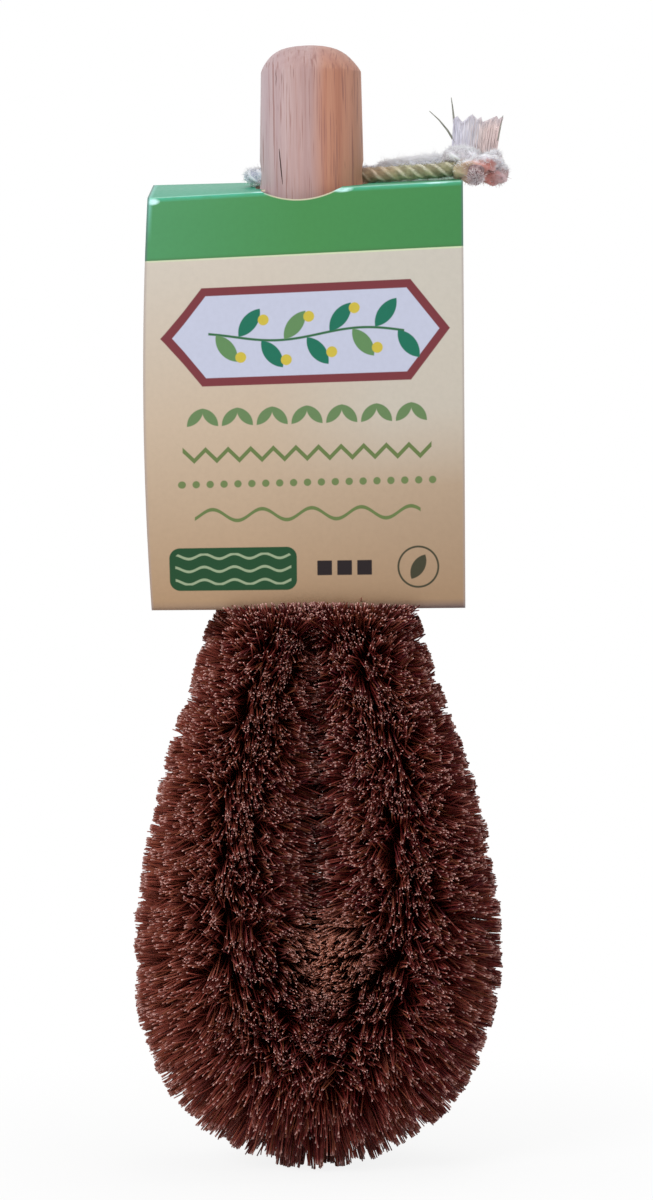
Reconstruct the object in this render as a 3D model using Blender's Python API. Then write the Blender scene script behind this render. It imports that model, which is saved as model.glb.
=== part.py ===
"""Washing-up brush: coir tufts gripped by two twisted wires that are bent into a
teardrop loop, a turned wooden handle, a cotton hanging rope and a card sleeve.

Metres, +Z up. The brush stands on its bristle tips at z = 0 with the handle's axis
on the Z axis. The front faces -Y.
"""

import math
import random

import bmesh
import bpy
import numpy as np
from mathutils import Matrix, Vector

# Gaps between pieces
TOUCH_GAP = 0.0003
RUNNING_GAP = 0.0009

# Bristles
TIP_LENGTH = 0.0256
SHORTER_PER_METRE = 0.1254
BELLY_FULLNESS = 0.0015
BELLY_FULLNESS_HEIGHT = 0.0694
BELLY_FULLNESS_SPREAD = 0.020
HALF_THICKNESS = 0.0230
THINNER_PER_METRE = 0.06
THINNER_FROM_HEIGHT = 0.045
STANDING_CUT = 0.0005
STANDING_HALF_WIDTH = 0.0090
STANDING_HALF_DEPTH = 0.0120
STRAND_TIP_HALF = 0.00035
SHORTEST_STRAND = 0.0015
STRAND_LEAN = 0.035
STRAND_UNEVEN = 0.04
SEAM_HALF_GAP = 0.0004
BEND_SHARE = 0.78

# Fibre core that the wires grip
CORE_WALL = 0.0009
CORE_SIDES = 8
TUFTS_A_SIDE = 7
STEPS_A_TUFT = 7
BORE_STEPS = 3
BARE_NECK = 0.0088

# Wire loop
WIRE_RADIUS = 0.00085
TWIST_RADIUS = 0.0012
TWIST_PITCH = 0.0140
POINTS_A_TURN = 6
LOOP_HEIGHT = 0.1244
BELLY_HALF_WIDTH = 0.0215
BELLY_HEIGHT = 0.0344
BOTTOM_ROUNDING = 0.0140
BELLY_ROUNDING_BELOW = 0.0140
BELLY_ROUNDING_ABOVE = 0.0520
NECK_ROUNDING = 0.0140
NECK_HALF_GAP = 0.0023
WIRE_IN_HANDLE = 0.0260

# Handle
HANDLE_LENGTH = 0.1154
HANDLE_RADIUS = 0.0124
HANDLE_TOP_RADIUS = 0.01165
DOME_RISE = 0.0062
HANDLE_END_CHAMFER = 0.0030
NECK_INSIDE_HANDLE = 0.0020
ROPE_HOLE_RADIUS = 0.0032
ROPE_HOLE_FLARE = 0.0012
HANDLE_STEPS = 40

# Card sleeve
CARD = 0.00045
SLEEVE_WIDTH = 0.0724
SLEEVE_CENTRE_X = -0.0015
SLEEVE_FRONT = 0.0155
SLEEVE_BACK = 0.0205
SLEEVE_HEIGHT = 0.0966
SLEEVE_OVERLAP = 0.0150
SLEEVE_TOP_SLANT = 0.0479
SLEEVE_BACK_RISE = 0.0032
SLEEVE_BACK_TWIST = -0.030
SLEEVE_BOW = 0.0010
SLEEVE_EDGE_BULGE = 0.0014
SLEEVE_FOLD = 0.0012
GLUE_FLAP = 0.0140
SLEEVE_STATIONS = 9
HANDLE_HOLE_SPARE = 0.0019
HOLE_FRONT_REACH = 0.0145
HOLE_SQUARENESS = 2.4
DIP_DEPTH = 0.0025
DIP_HALF_WIDTH = 0.0112
DIP_CENTRE_X = -0.0030
NECK_HOLE_HALF_WIDTH = 0.0250

# Hanging rope
ROPE_RADIUS = 0.0020
ROPE_OVER_CARD = 0.0016
KNOT_ROPE_RADIUS = 0.00165
KNOT_RING = 0.0044
KNOT_SWELL = 0.00195
KNOT_POINTS = 48
KNOT_TILT = math.radians(14)
KNOT_TURN = math.radians(35)
KNOT_CENTRE = (0.0383, 0.0005, 0.0020)
FRAY_WIDTH = 0.0110
FRAY_FLARE = 0.0008
FRAY_HEIGHT = 0.0078
FRAY_THICKNESS = 0.0030
FRAY_TEETH = 6
FRAY_TOOTH = 0.0014
CUT_END_LENGTH = 0.0036

# The rope's route from the middle of the cross hole, by hand, in metres
ROPE_FRONT_ROUTE = (
    (0.00015, 0.0, 0.0),
    (0.0050, 0.0, 0.0),
    (0.0100, 0.0, 0.0003),
    (0.0140, -0.0002, 0.0006),
    (0.0180, -0.0008, 0.0008),
    (0.0220, -0.0014, 0.0010),
    (0.0260, -0.0018, 0.0013),
    (0.0300, -0.0018, 0.0017),
    (0.0350, -0.0018, 0.0023),
)
ROPE_BACK_ROUTE = (
    (-0.00015, 0.0, 0.0),
    (-0.0050, 0.0, 0.0),
    (-0.0095, 0.0, 0.0),
    (-0.0116, 0.0005, 0.0),
    (-0.0133, 0.0020, 0.0001),
    (-0.0141, 0.0046, 0.0002),
    (-0.0130, 0.0076, 0.0004),
    (-0.0107, 0.0107, 0.0009),
    (-0.0060, 0.0139, 0.0013),
    (0.0000, 0.0151, 0.0016),
    (0.0058, 0.0140, 0.0018),
    (0.0102, 0.0115, 0.0018),
    (0.0148, 0.0085, 0.0019),
    (0.0198, 0.0060, 0.0023),
    (0.0250, 0.0044, 0.0027),
    (0.0302, 0.0037, 0.0031),
    (0.0350, 0.0031, 0.0034),
)

# Heights that follow from the sizes above
LOOP_BOTTOM_Z = TIP_LENGTH - STANDING_CUT
NECK_Z = LOOP_BOTTOM_Z + LOOP_HEIGHT
HANDLE_BOTTOM_Z = NECK_Z - NECK_INSIDE_HANDLE
HANDLE_TOP_Z = HANDLE_BOTTOM_Z + HANDLE_LENGTH
WIRE_END_Z = NECK_Z + WIRE_IN_HANDLE
PAIR_REACH = TWIST_RADIUS + WIRE_RADIUS
SOCKET_RADIUS = NECK_HALF_GAP + PAIR_REACH + 2 * TOUCH_GAP
BORE_RADIUS = PAIR_REACH + 2 * TOUCH_GAP
CORE_RADIUS = BORE_RADIUS + CORE_WALL
SLEEVE_BOTTOM_Z = HANDLE_BOTTOM_Z - SLEEVE_OVERLAP
SLEEVE_TOP_Z = SLEEVE_BOTTOM_Z + SLEEVE_HEIGHT
NECK_HOLE_HALF_DEPTH = HANDLE_RADIUS + RUNNING_GAP
ROPE_Z = SLEEVE_TOP_Z + ROPE_OVER_CARD + ROPE_RADIUS


def clear_scene():
    for obj in list(bpy.data.objects):
        bpy.data.objects.remove(obj, do_unlink=True)


def principled(name, colour, roughness, metallic=0.0):
    material = bpy.data.materials.new(name)
    material.use_nodes = True
    shader = material.node_tree.nodes["Principled BSDF"]
    shader.inputs["Base Color"].default_value = (*colour, 1.0)
    shader.inputs["Roughness"].default_value = roughness
    shader.inputs["Metallic"].default_value = metallic
    return material


def object_from(bm, name, material, parent=None):
    bmesh.ops.recalc_face_normals(bm, faces=bm.faces)
    mesh = bpy.data.meshes.new(name)
    bm.to_mesh(mesh)
    bm.free()
    mesh.shade_smooth()
    mesh.set_sharp_from_angle(angle=math.radians(35))
    obj = bpy.data.objects.new(name, mesh)
    bpy.context.scene.collection.objects.link(obj)
    if material:
        mesh.materials.append(material)
    obj.parent = parent
    return obj


def tube(name, points, radius, resolution, material, parent, cyclic=False):
    """A round cord or wire along straight stretches between the points."""
    curve = bpy.data.curves.new(name, "CURVE")
    curve.dimensions = "3D"
    curve.bevel_depth = radius
    curve.bevel_resolution = resolution
    curve.use_fill_caps = not cyclic
    spline = curve.splines.new("POLY")
    spline.points.add(len(points) - 1)
    for spot, point in zip(spline.points, points):
        spot.co = (*point, 1.0)
    spline.use_cyclic_u = cyclic
    curve.materials.append(material)
    obj = bpy.data.objects.new(name, curve)
    bpy.context.scene.collection.objects.link(obj)
    obj.parent = parent
    return obj


def cut(obj, cutter):
    cutter.hide_render = True
    cutter.display_type = "WIRE"
    boolean = obj.modifiers.new("cut", "BOOLEAN")
    boolean.operation = "DIFFERENCE"
    boolean.solver = "EXACT"
    boolean.object = cutter


# Wire loop: its centre line, and where a length along it lies


def bezier(start, first, second, end, count=240):
    t = np.linspace(0.0, 1.0, count)[:, None]
    ends = (1 - t) ** 3 * np.array(start) + t**3 * np.array(end)
    return ends + 3 * (1 - t) ** 2 * t * np.array(first) + 3 * (1 - t) * t**2 * np.array(second)


def half_loop():
    """The right half's (x, z) from the bottom to the wire's end, and the length to each."""
    belly_z = LOOP_BOTTOM_Z + BELLY_HEIGHT
    lower = bezier(
        (0.0, LOOP_BOTTOM_Z),
        (BOTTOM_ROUNDING, LOOP_BOTTOM_Z),
        (BELLY_HALF_WIDTH, belly_z - BELLY_ROUNDING_BELOW),
        (BELLY_HALF_WIDTH, belly_z),
    )
    upper = bezier(
        (BELLY_HALF_WIDTH, belly_z),
        (BELLY_HALF_WIDTH, belly_z + BELLY_ROUNDING_ABOVE),
        (NECK_HALF_GAP, NECK_Z - NECK_ROUNDING),
        (NECK_HALF_GAP, NECK_Z),
    )
    socket = [(NECK_HALF_GAP, z) for z in np.linspace(NECK_Z, WIRE_END_Z, 60)]
    line = np.vstack([lower, upper[1:], socket[1:]])
    steps = np.linalg.norm(np.diff(line, axis=0), axis=1)
    return line, np.concatenate([[0.0], np.cumsum(steps)])


HALF_LINE, HALF_LENGTHS = half_loop()
HALF_LENGTH = float(HALF_LENGTHS[-1])
NECK_LENGTH = float(HALF_LENGTHS[-60])


def loop_point(s):
    """Place on the centre line, s metres from the bottom, to the right where positive."""
    x = math.copysign(np.interp(abs(s), HALF_LENGTHS, HALF_LINE[:, 0]), s)
    return Vector((x, 0.0, np.interp(abs(s), HALF_LENGTHS, HALF_LINE[:, 1])))


def loop_frame(s):
    """Place, direction along the loop, and direction out of the loop."""
    step = 0.0006
    along = (loop_point(s + step) - loop_point(s - step)).normalized()
    return loop_point(s), along, Vector((along.z, 0.0, -along.x))


def bend_radius(s):
    """Radius of the loop's bend, positive where its centre lies inside the loop."""
    step = 0.003
    before = loop_frame(s - step)[1]
    after = loop_frame(s + step)[1]
    turn = before.x * after.z - before.z * after.x
    return 2 * step / turn if abs(turn) > 1e-6 else math.inf


def wire_strand(name, phase, material, parent):
    turns = 2 * HALF_LENGTH / TWIST_PITCH
    count = int(turns * POINTS_A_TURN) + 1
    points = []
    for s in np.linspace(-HALF_LENGTH + 0.001, HALF_LENGTH - 0.001, count):
        place, _, out = loop_frame(s)
        angle = 2 * math.pi * s / TWIST_PITCH + phase
        aside = out * math.cos(angle) + Vector((0.0, 1.0, 0.0)) * math.sin(angle)
        points.append(place + aside * TWIST_RADIUS)
    tube(name, points, WIRE_RADIUS, 1, material, parent)
    return points


# Bristles


def envelope(height, out_share, side_share):
    """Length of a bristle that leaves the core at this height in this direction."""
    above = height - LOOP_BOTTOM_Z
    fuller = BELLY_FULLNESS * math.exp(
        -(((above - BELLY_FULLNESS_HEIGHT) / BELLY_FULLNESS_SPREAD) ** 2)
    )
    out = TIP_LENGTH - SHORTER_PER_METRE * above + fuller
    side = HALF_THICKNESS - THINNER_PER_METRE * max(0.0, above - THINNER_FROM_HEIGHT)
    return 1.0 / math.hypot(out_share / out, side_share / side)


def in_sleeve_card(point):
    """Whether a bristle here would cross the sleeve's card, or its way up."""
    edge = TOUCH_GAP + STRAND_TIP_HALF
    inside = -SLEEVE_FRONT - SLEEVE_BOW - edge < point.y < SLEEVE_BACK + edge
    past_hole = (
        abs(point.y) > NECK_HOLE_HALF_DEPTH - edge
        or abs(point.x) > NECK_HOLE_HALF_WIDTH - edge
    )
    return point.z > SLEEVE_BOTTOM_Z - edge and inside and past_hole


def strand_length(root, direction, out_share, side_share, bend):
    length = envelope(root.z, out_share, side_share)
    if direction.z < 0:
        to_floor = root.z / -direction.z
        foot = root + direction * to_floor
        if abs(foot.x) < STANDING_HALF_WIDTH and abs(foot.y) < STANDING_HALF_DEPTH:
            return to_floor
        length = min(length, to_floor)
    seam = SEAM_HALF_GAP + STRAND_TIP_HALF
    if root.x * direction.x < 0 and abs(root.x) > 2 * seam:
        length = min(length, (abs(root.x) - seam) / abs(direction.x))
    if out_share * bend < 0:
        length = min(length, BEND_SHARE * abs(bend / out_share))
    step = 0.0004
    reach = CORE_RADIUS
    while reach < length:
        if in_sleeve_card(root + direction * reach):
            return reach - step
        reach += step
    return length


def coir_tuft(name, start, end, first_step, turn, material, parent):
    """A slice of the fibre core with its bristles drawn out of every second face."""
    bm = bmesh.new()
    side = Vector((0.0, 1.0, 0.0))
    corners = [2 * math.pi * (k + turn) / CORE_SIDES for k in range(CORE_SIDES)]

    def rings(radius, steps):
        made = []
        for s in np.linspace(start, end, steps + 1):
            place, _, out = loop_frame(s)
            spots = [place + (out * math.cos(a) + side * math.sin(a)) * radius for a in corners]
            made.append([bm.verts.new(spot) for spot in spots])
        return made

    outer = rings(CORE_RADIUS, STEPS_A_TUFT)
    bore = rings(BORE_RADIUS, BORE_STEPS)
    for k in range(CORE_SIDES):
        after = (k + 1) % CORE_SIDES
        for low, high in zip(bore, bore[1:]):
            bm.faces.new((low[k], high[k], high[after], low[after]))
        bm.faces.new((outer[0][k], bore[0][k], bore[0][after], outer[0][after]))
        bm.faces.new((outer[-1][k], outer[-1][after], bore[-1][after], bore[-1][k]))

    step_length = (end - start) / STEPS_A_TUFT
    for i in range(STEPS_A_TUFT):
        middle = start + (i + 0.5) * step_length
        root, along, out = loop_frame(middle)
        bend = bend_radius(middle)
        for k in range(CORE_SIDES):
            after = (k + 1) % CORE_SIDES
            face = (outer[i][k], outer[i][after], outer[i + 1][after], outer[i + 1][k])
            angle = corners[k] + math.pi / CORE_SIDES
            noise = random.Random(abs(first_step + i) * CORE_SIDES + k)
            lean = noise.uniform(-STRAND_LEAN, STRAND_LEAN)
            longer = 1 + noise.uniform(-STRAND_UNEVEN, STRAND_UNEVEN)
            direction = out * math.cos(angle + lean) + side * math.sin(angle + lean)
            out_share = math.cos(angle + lean)
            side_share = math.sin(angle + lean)
            length = strand_length(root, direction, out_share, side_share, bend)
            if (first_step + i + k) % 2 or length < CORE_RADIUS + SHORTEST_STRAND:
                bm.faces.new(face)
                continue
            standing = root.z + direction.z * length < 1e-6
            if not standing:
                length = min(length, length * longer)
            tip = root + direction * length
            across = direction.cross(along).normalized() * STRAND_TIP_HALF
            ahead = along * STRAND_TIP_HALF
            if (face[1].co - face[0].co).dot(across) < 0:
                across = -across
            signs = ((-1, -1), (1, -1), (1, 1), (-1, 1))
            ends = [bm.verts.new(tip + across * a + ahead * b) for a, b in signs]
            for spot in ends:
                if standing:
                    spot.co.z = 0.0
                spot.co.z = max(spot.co.z, 0.0)
            for one in range(4):
                two = (one + 1) % 4
                bm.faces.new((face[one], face[two], ends[two], ends[one]))
            bm.faces.new(ends)
    return object_from(bm, name, material, parent)


def coir(material, parent):
    """Tufts from the left neck round the tip to the right neck, mirrored about X = 0.

    The tip's bristles straddle the middle plane, so that the brush stands on two rows.
    """
    reach = NECK_LENGTH - BARE_NECK
    count = 2 * TUFTS_A_SIDE + 1
    pitch = 2 * reach / count
    for i in range(count):
        number = i - TUFTS_A_SIDE
        if number == 0:
            name = "coir_tip"
        elif number < 0:
            name = f"coir_left_{-number}"
        else:
            name = f"coir_right_{number}"
        start = -reach + i * pitch + TOUCH_GAP / 2
        end = -reach + (i + 1) * pitch - TOUCH_GAP / 2
        first_step = number * STEPS_A_TUFT - STEPS_A_TUFT // 2
        turn = 0.0 if number == 0 else -0.5
        coir_tuft(name, start, end, first_step, turn, material, parent)


# Handle


def handle(material, parent):
    """A turned dowel with a domed end, a blind bore for the wires and a rope hole."""
    dome_z = HANDLE_TOP_Z - DOME_RISE
    dome_radius = (HANDLE_TOP_RADIUS**2 + DOME_RISE**2) / (2 * DOME_RISE)
    dome_half = math.asin(HANDLE_TOP_RADIUS / dome_radius)
    bore_end = WIRE_END_Z + 2 * TOUCH_GAP
    profile = [
        (0.0, bore_end),
        (SOCKET_RADIUS, bore_end),
        (SOCKET_RADIUS, HANDLE_BOTTOM_Z),
        (HANDLE_RADIUS - HANDLE_END_CHAMFER, HANDLE_BOTTOM_Z),
        (HANDLE_RADIUS - HANDLE_END_CHAMFER / 3, HANDLE_BOTTOM_Z + HANDLE_END_CHAMFER / 3),
        (HANDLE_RADIUS, HANDLE_BOTTOM_Z + HANDLE_END_CHAMFER),
        (HANDLE_RADIUS, ROPE_Z - HANDLE_RADIUS),
    ]
    for step in range(8):
        angle = dome_half * (1 - step / 8)
        z = HANDLE_TOP_Z - dome_radius * (1 - math.cos(angle))
        profile.append((dome_radius * math.sin(angle), z))
    profile.append((0.0, HANDLE_TOP_Z))
    assert dome_z > ROPE_Z
    bm = bmesh.new()
    spots = [bm.verts.new((r, 0.0, z)) for r, z in profile]
    edges = [bm.edges.new(pair) for pair in zip(spots, spots[1:])]
    bmesh.ops.spin(
        bm, geom=spots + edges, cent=(0, 0, 0), axis=(0, 0, 1),
        angle=2 * math.pi, steps=HANDLE_STEPS, use_merge=True,
    )
    bmesh.ops.remove_doubles(bm, verts=bm.verts, dist=1e-6)
    obj = object_from(bm, "handle", material, parent)
    cut(obj, rope_hole_cutter())
    return obj


def rope_hole_cutter():
    """A round hole along X whose two mouths are flared."""
    mouth = HANDLE_RADIUS * 1.1
    flare = ROPE_HOLE_FLARE * 2
    wide = ROPE_HOLE_RADIUS + flare
    profile = [
        (0.0, -mouth), (wide, -mouth), (ROPE_HOLE_RADIUS, -mouth + flare),
        (ROPE_HOLE_RADIUS, mouth - flare), (wide, mouth), (0.0, mouth),
    ]
    bm = bmesh.new()
    spots = [bm.verts.new((x, 0.0, ROPE_Z + r)) for r, x in profile]
    edges = [bm.edges.new(pair) for pair in zip(spots, spots[1:])]
    bmesh.ops.spin(
        bm, geom=spots + edges, cent=(0, 0, ROPE_Z), axis=(1, 0, 0),
        angle=2 * math.pi, steps=20, use_merge=True,
    )
    bmesh.ops.remove_doubles(bm, verts=bm.verts, dist=1e-6)
    return object_from(bm, "rope_hole_cutter", None)


# Card sleeve


def fold_line_z(x):
    return SLEEVE_TOP_Z + SLEEVE_TOP_SLANT * (x - SLEEVE_CENTRE_X)


def back_rise(x):
    return SLEEVE_BACK_RISE + SLEEVE_BACK_TWIST * (x - SLEEVE_CENTRE_X)


def filleted(corners, radius, steps=3):
    """The closed outline with each corner rounded."""
    outline = []
    for i, corner in enumerate(corners):
        to_last = (corners[i - 1] - corner).normalized()
        to_next = (corners[(i + 1) % len(corners)] - corner).normalized()
        half = to_last.angle(to_next) / 2
        middle = corner + (to_last + to_next).normalized() * (radius / math.sin(half))
        first = corner + to_last * (radius / math.tan(half)) - middle
        last = corner + to_next * (radius / math.tan(half)) - middle
        for step in range(steps + 1):
            share = step / steps
            outline.append(middle + (first * (1 - share) + last * share).normalized() * radius)
    return outline


def card_outline(x, inset):
    """The card's (y, z) outline at one place across, outside or inset by the card."""
    low = SLEEVE_BOTTOM_Z + inset
    front = -SLEEVE_FRONT + inset
    back = SLEEVE_BACK - inset
    front_top = fold_line_z(x) - inset
    back_top = fold_line_z(x) + back_rise(x) - inset
    corners = [(front, low), (front, front_top), (back, back_top), (back, low)]
    outline = filleted([Vector(corner) for corner in corners], SLEEVE_FOLD - inset)
    fold = len(outline) // 4
    front_run = outline[fold - 1].lerp(outline[fold], 0.25)
    middle = [outline[fold - 1].lerp(outline[fold], share) for share in (0.5, 0.75)]
    flap_z = SLEEVE_BOTTOM_Z + GLUE_FLAP
    flap = [(back, flap_z + CARD), (back - inset, flap_z)]
    foot = (back - inset, outline[3 * fold].y)
    shaped = outline[:fold] + [front_run] + middle + outline[fold : 3 * fold]
    shaped += [Vector(spot) for spot in flap] + [Vector(foot)]
    shaped += outline[3 * fold + 1 :]
    half = (front_top - low) / 2
    for spot in shaped:
        if spot.x < front + SLEEVE_FOLD / 2:
            spot.x -= SLEEVE_BOW * max(0.0, 1 - ((spot.y - low - half) / half) ** 2)
    return shaped


def card_sleeve(material, parent):
    bm = bmesh.new()
    left = SLEEVE_CENTRE_X - SLEEVE_WIDTH / 2
    shells = []
    for inset in (0.0, CARD):
        shell = []
        for station in range(SLEEVE_STATIONS):
            x = left + SLEEVE_WIDTH * station / (SLEEVE_STATIONS - 1)
            half = SLEEVE_HEIGHT / 2
            loop = []
            for spot in card_outline(x, inset):
                bulge = SLEEVE_EDGE_BULGE * (1 - ((spot.y - SLEEVE_BOTTOM_Z - half) / half) ** 2)
                aside = x - (max(0.0, bulge) if station == 0 else 0.0)
                loop.append(bm.verts.new((aside, spot.x, spot.y)))
            shell.append(loop)
        shells.append(shell)
    outside, inside = shells
    count = len(outside[0])
    for k in range(count):
        after = (k + 1) % count
        for shell in shells:
            for here, beyond in zip(shell, shell[1:]):
                bm.faces.new((here[k], here[after], beyond[after], beyond[k]))
        for end in (0, -1):
            rim = (outside[end][k], inside[end][k], inside[end][after], outside[end][after])
            bm.faces.new(rim)
    obj = object_from(bm, "card_sleeve", material, parent)
    for cutter in (handle_hole_cutter(), dip_cutter(), neck_hole_cutter()):
        cut(obj, cutter)
    return obj


def prism(name, outline, low, high):
    bm = bmesh.new()
    base = bm.faces.new([bm.verts.new((x, y, low)) for x, y in outline])
    raised = bmesh.ops.extrude_face_region(bm, geom=[base])["geom"]
    lifted = [piece for piece in raised if isinstance(piece, bmesh.types.BMVert)]
    bmesh.ops.translate(bm, vec=(0, 0, high - low), verts=lifted)
    return object_from(bm, name, None)


def superellipse(half_x, front, back, power, count=36):
    outline = []
    for step in range(count):
        angle = 2 * math.pi * (step + 0.5) / count
        c, s = math.cos(angle), math.sin(angle)
        reach = back if s > 0 else front
        x = half_x * math.copysign(abs(c) ** (2 / power), c)
        outline.append((x, reach * math.copysign(abs(s) ** (2 / power), s)))
    return outline


def handle_hole_cutter():
    half = HANDLE_RADIUS + HANDLE_HOLE_SPARE
    outline = superellipse(half, HOLE_FRONT_REACH, half, HOLE_SQUARENESS)
    lowest = SLEEVE_TOP_Z - SLEEVE_TOP_SLANT * SLEEVE_WIDTH - 2 * CARD
    highest = SLEEVE_TOP_Z + SLEEVE_TOP_SLANT * SLEEVE_WIDTH + 2 * SLEEVE_BACK_RISE
    return prism("handle_hole_cutter", outline, lowest, highest)


def dip_cutter():
    """A drum along Y: the hole runs over the front fold and dips into the front."""
    radius = (DIP_HALF_WIDTH**2 + DIP_DEPTH**2) / (2 * DIP_DEPTH)
    centre_z = fold_line_z(DIP_CENTRE_X) - DIP_DEPTH + radius
    start = -SLEEVE_FRONT - 4 * CARD
    outline = []
    for step in range(48):
        angle = 2 * math.pi * (step + 0.5) / 48
        outline.append((radius * math.cos(angle), radius * math.sin(angle)))
    obj = prism("dip_cutter", outline, 0.0, SLEEVE_FRONT - HANDLE_RADIUS + 0.006)
    obj.matrix_world = Matrix.Translation((DIP_CENTRE_X, start, centre_z)) @ Matrix.Rotation(
        -math.pi / 2, 4, "X"
    )
    return obj


def neck_hole_cutter():
    outline = superellipse(
        NECK_HOLE_HALF_WIDTH, NECK_HOLE_HALF_DEPTH, NECK_HOLE_HALF_DEPTH, 4.0
    )
    return prism(
        "neck_hole_cutter", outline, SLEEVE_BOTTOM_Z - CARD, SLEEVE_BOTTOM_Z + 3 * CARD
    )


# Hanging rope


def end_gap(points, knot):
    """Clear distance from the last point's flat round end to the knot."""
    ahead = (points[-1] - points[-2]).normalized()
    aside = ahead.cross(Vector((0.0, 0.0, 1.0))).normalized()
    above = aside.cross(ahead)
    rim = []
    for share in (0.0, 0.5, 1.0):
        for step in range(16):
            angle = math.pi * step / 8
            reach = ROPE_RADIUS * share
            rim.append(points[-1] + (aside * math.cos(angle) + above * math.sin(angle)) * reach)
    return least_gap(rim, knot, KNOT_ROPE_RADIUS / 2, 0)


def run_to_knot(route, spacing):
    """The rope along its route, ending just short of the knot."""
    knot = knot_points(10 * KNOT_POINTS)
    fine = smooth_route(route, 0.0002)
    while end_gap(fine, knot) < TOUCH_GAP:
        fine.pop()
    while len(fine) > 3 and end_gap(fine[:-1], knot) < end_gap(fine, knot):
        fine.pop()
    length = sum((b - a).length for a, b in zip(fine, fine[1:]))
    count = round(length / spacing)
    marks = [round(i * (len(fine) - 1) / count) for i in range(count + 1)]
    return [fine[mark] for mark in marks], length


def smooth_route(route, spacing):
    """Points at an even spacing on a smooth curve through the route's own points."""
    spots = [Vector(spot) for spot in route]
    spots = [2 * spots[0] - spots[1]] + spots + [2 * spots[-1] - spots[-2]]
    dense = []
    for a, b, c, d in zip(spots, spots[1:], spots[2:], spots[3:]):
        for step in range(12):
            t = step / 12
            dense.append(
                0.5 * (2 * b + (c - a) * t + (2 * a - 5 * b + 4 * c - d) * t**2
                       + (3 * b - a - 3 * c + d) * t**3)
            )
    dense.append(spots[-2])
    line = np.array([tuple(spot) for spot in dense])
    lengths = np.concatenate([[0], np.cumsum(np.linalg.norm(np.diff(line, axis=0), axis=1))])
    count = max(3, round(lengths[-1] / spacing) + 1)
    marks = np.linspace(0.0, lengths[-1], count)
    rows = zip(*(np.interp(marks, lengths, line[:, axis]) for axis in range(3)))
    return [Vector(row) + Vector((0.0, 0.0, ROPE_Z)) for row in rows]


def knot_place():
    centre = Vector(KNOT_CENTRE) + Vector((0.0, 0.0, ROPE_Z))
    return Matrix.Translation(centre) @ Matrix.Rotation(KNOT_TILT, 4, "Y")


def knot_points(count):
    """An overhand knot: the rope winds three times round a ring while it goes round twice."""
    place = knot_place()
    points = []
    for step in range(count):
        t = 2 * math.pi * step / count
        reach = KNOT_RING + KNOT_SWELL * math.cos(3 * t)
        turn = 2 * t + KNOT_TURN
        spot = Vector((reach * math.cos(turn), reach * math.sin(turn), KNOT_SWELL * math.sin(3 * t)))
        points.append(place @ spot)
    return points


def least_gap(points, others, radius, apart, cyclic=False):
    """Least clear distance between two runs of tube, or of one run to itself."""
    first = np.array([tuple(spot) for spot in points])
    second = np.array([tuple(spot) for spot in others])
    distance = np.linalg.norm(first[:, None] - second[None], axis=2)
    if apart:
        rows = np.arange(len(first))
        between = np.abs(rows[:, None] - rows[None])
        if cyclic:
            between = np.minimum(between, len(first) - between)
        distance[between < apart] = math.inf
    return float(distance.min() - 2 * radius)


def frayed_end(material, parent):
    """The cut rope's fibres, fanned out flat with a jagged upper edge."""
    base = knot_place() @ Vector((0.0, 0.0, KNOT_SWELL + KNOT_ROPE_RADIUS + TOUCH_GAP))
    slant = FRAY_WIDTH / 2 * math.tan(KNOT_TILT)
    outline = [(-FRAY_WIDTH / 2, slant), (FRAY_WIDTH / 2, -slant)]
    steps = 2 * FRAY_TEETH
    top = FRAY_WIDTH + 2 * FRAY_FLARE
    for step in range(steps + 1):
        x = top * (0.5 - step / steps)
        drop = FRAY_TOOTH * (1.0 if step % 2 else 0.2 * (step % 3))
        outline.append((x, FRAY_HEIGHT - drop))
    bm = bmesh.new()
    face = bm.faces.new([bm.verts.new((x, -FRAY_THICKNESS / 2, z)) for x, z in outline])
    drawn = bmesh.ops.extrude_face_region(bm, geom=[face])["geom"]
    lifted = [piece for piece in drawn if isinstance(piece, bmesh.types.BMVert)]
    bmesh.ops.translate(bm, vec=(0, FRAY_THICKNESS, 0), verts=lifted)
    obj = object_from(bm, "rope_frayed_end", material, parent)
    obj.location = base
    return obj


def rope(material, parent):
    front, front_length = run_to_knot(ROPE_FRONT_ROUTE, 2 * ROPE_RADIUS)
    back, back_length = run_to_knot(ROPE_BACK_ROUTE, 1.2 * ROPE_RADIUS)
    tube("rope_front", front, ROPE_RADIUS, 2, material, parent)
    tube("rope_back", back, ROPE_RADIUS, 2, material, parent)
    knot = knot_points(KNOT_POINTS)
    tube("rope_knot", knot, KNOT_ROPE_RADIUS, 2, material, parent, cyclic=True)
    frayed_end(material, parent)
    outermost = min(knot, key=lambda spot: spot.y)
    start = outermost + Vector((0.0, -KNOT_ROPE_RADIUS - TOUCH_GAP, 0.0))
    stub = [start + Vector((0.0, -1.0, -0.12)) * CUT_END_LENGTH * share for share in (0, 0.5, 1)]
    tube("rope_cut_end", stub, ROPE_RADIUS, 2, material, parent)
    print(f"rope: front {front_length * 1000:.1f} mm, back {back_length * 1000:.1f} mm")
    gap = least_gap(knot, knot, KNOT_ROPE_RADIUS, KNOT_POINTS // 8, cyclic=True)
    print(f"knot: least gap to itself {gap * 1000:.2f} mm")


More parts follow.
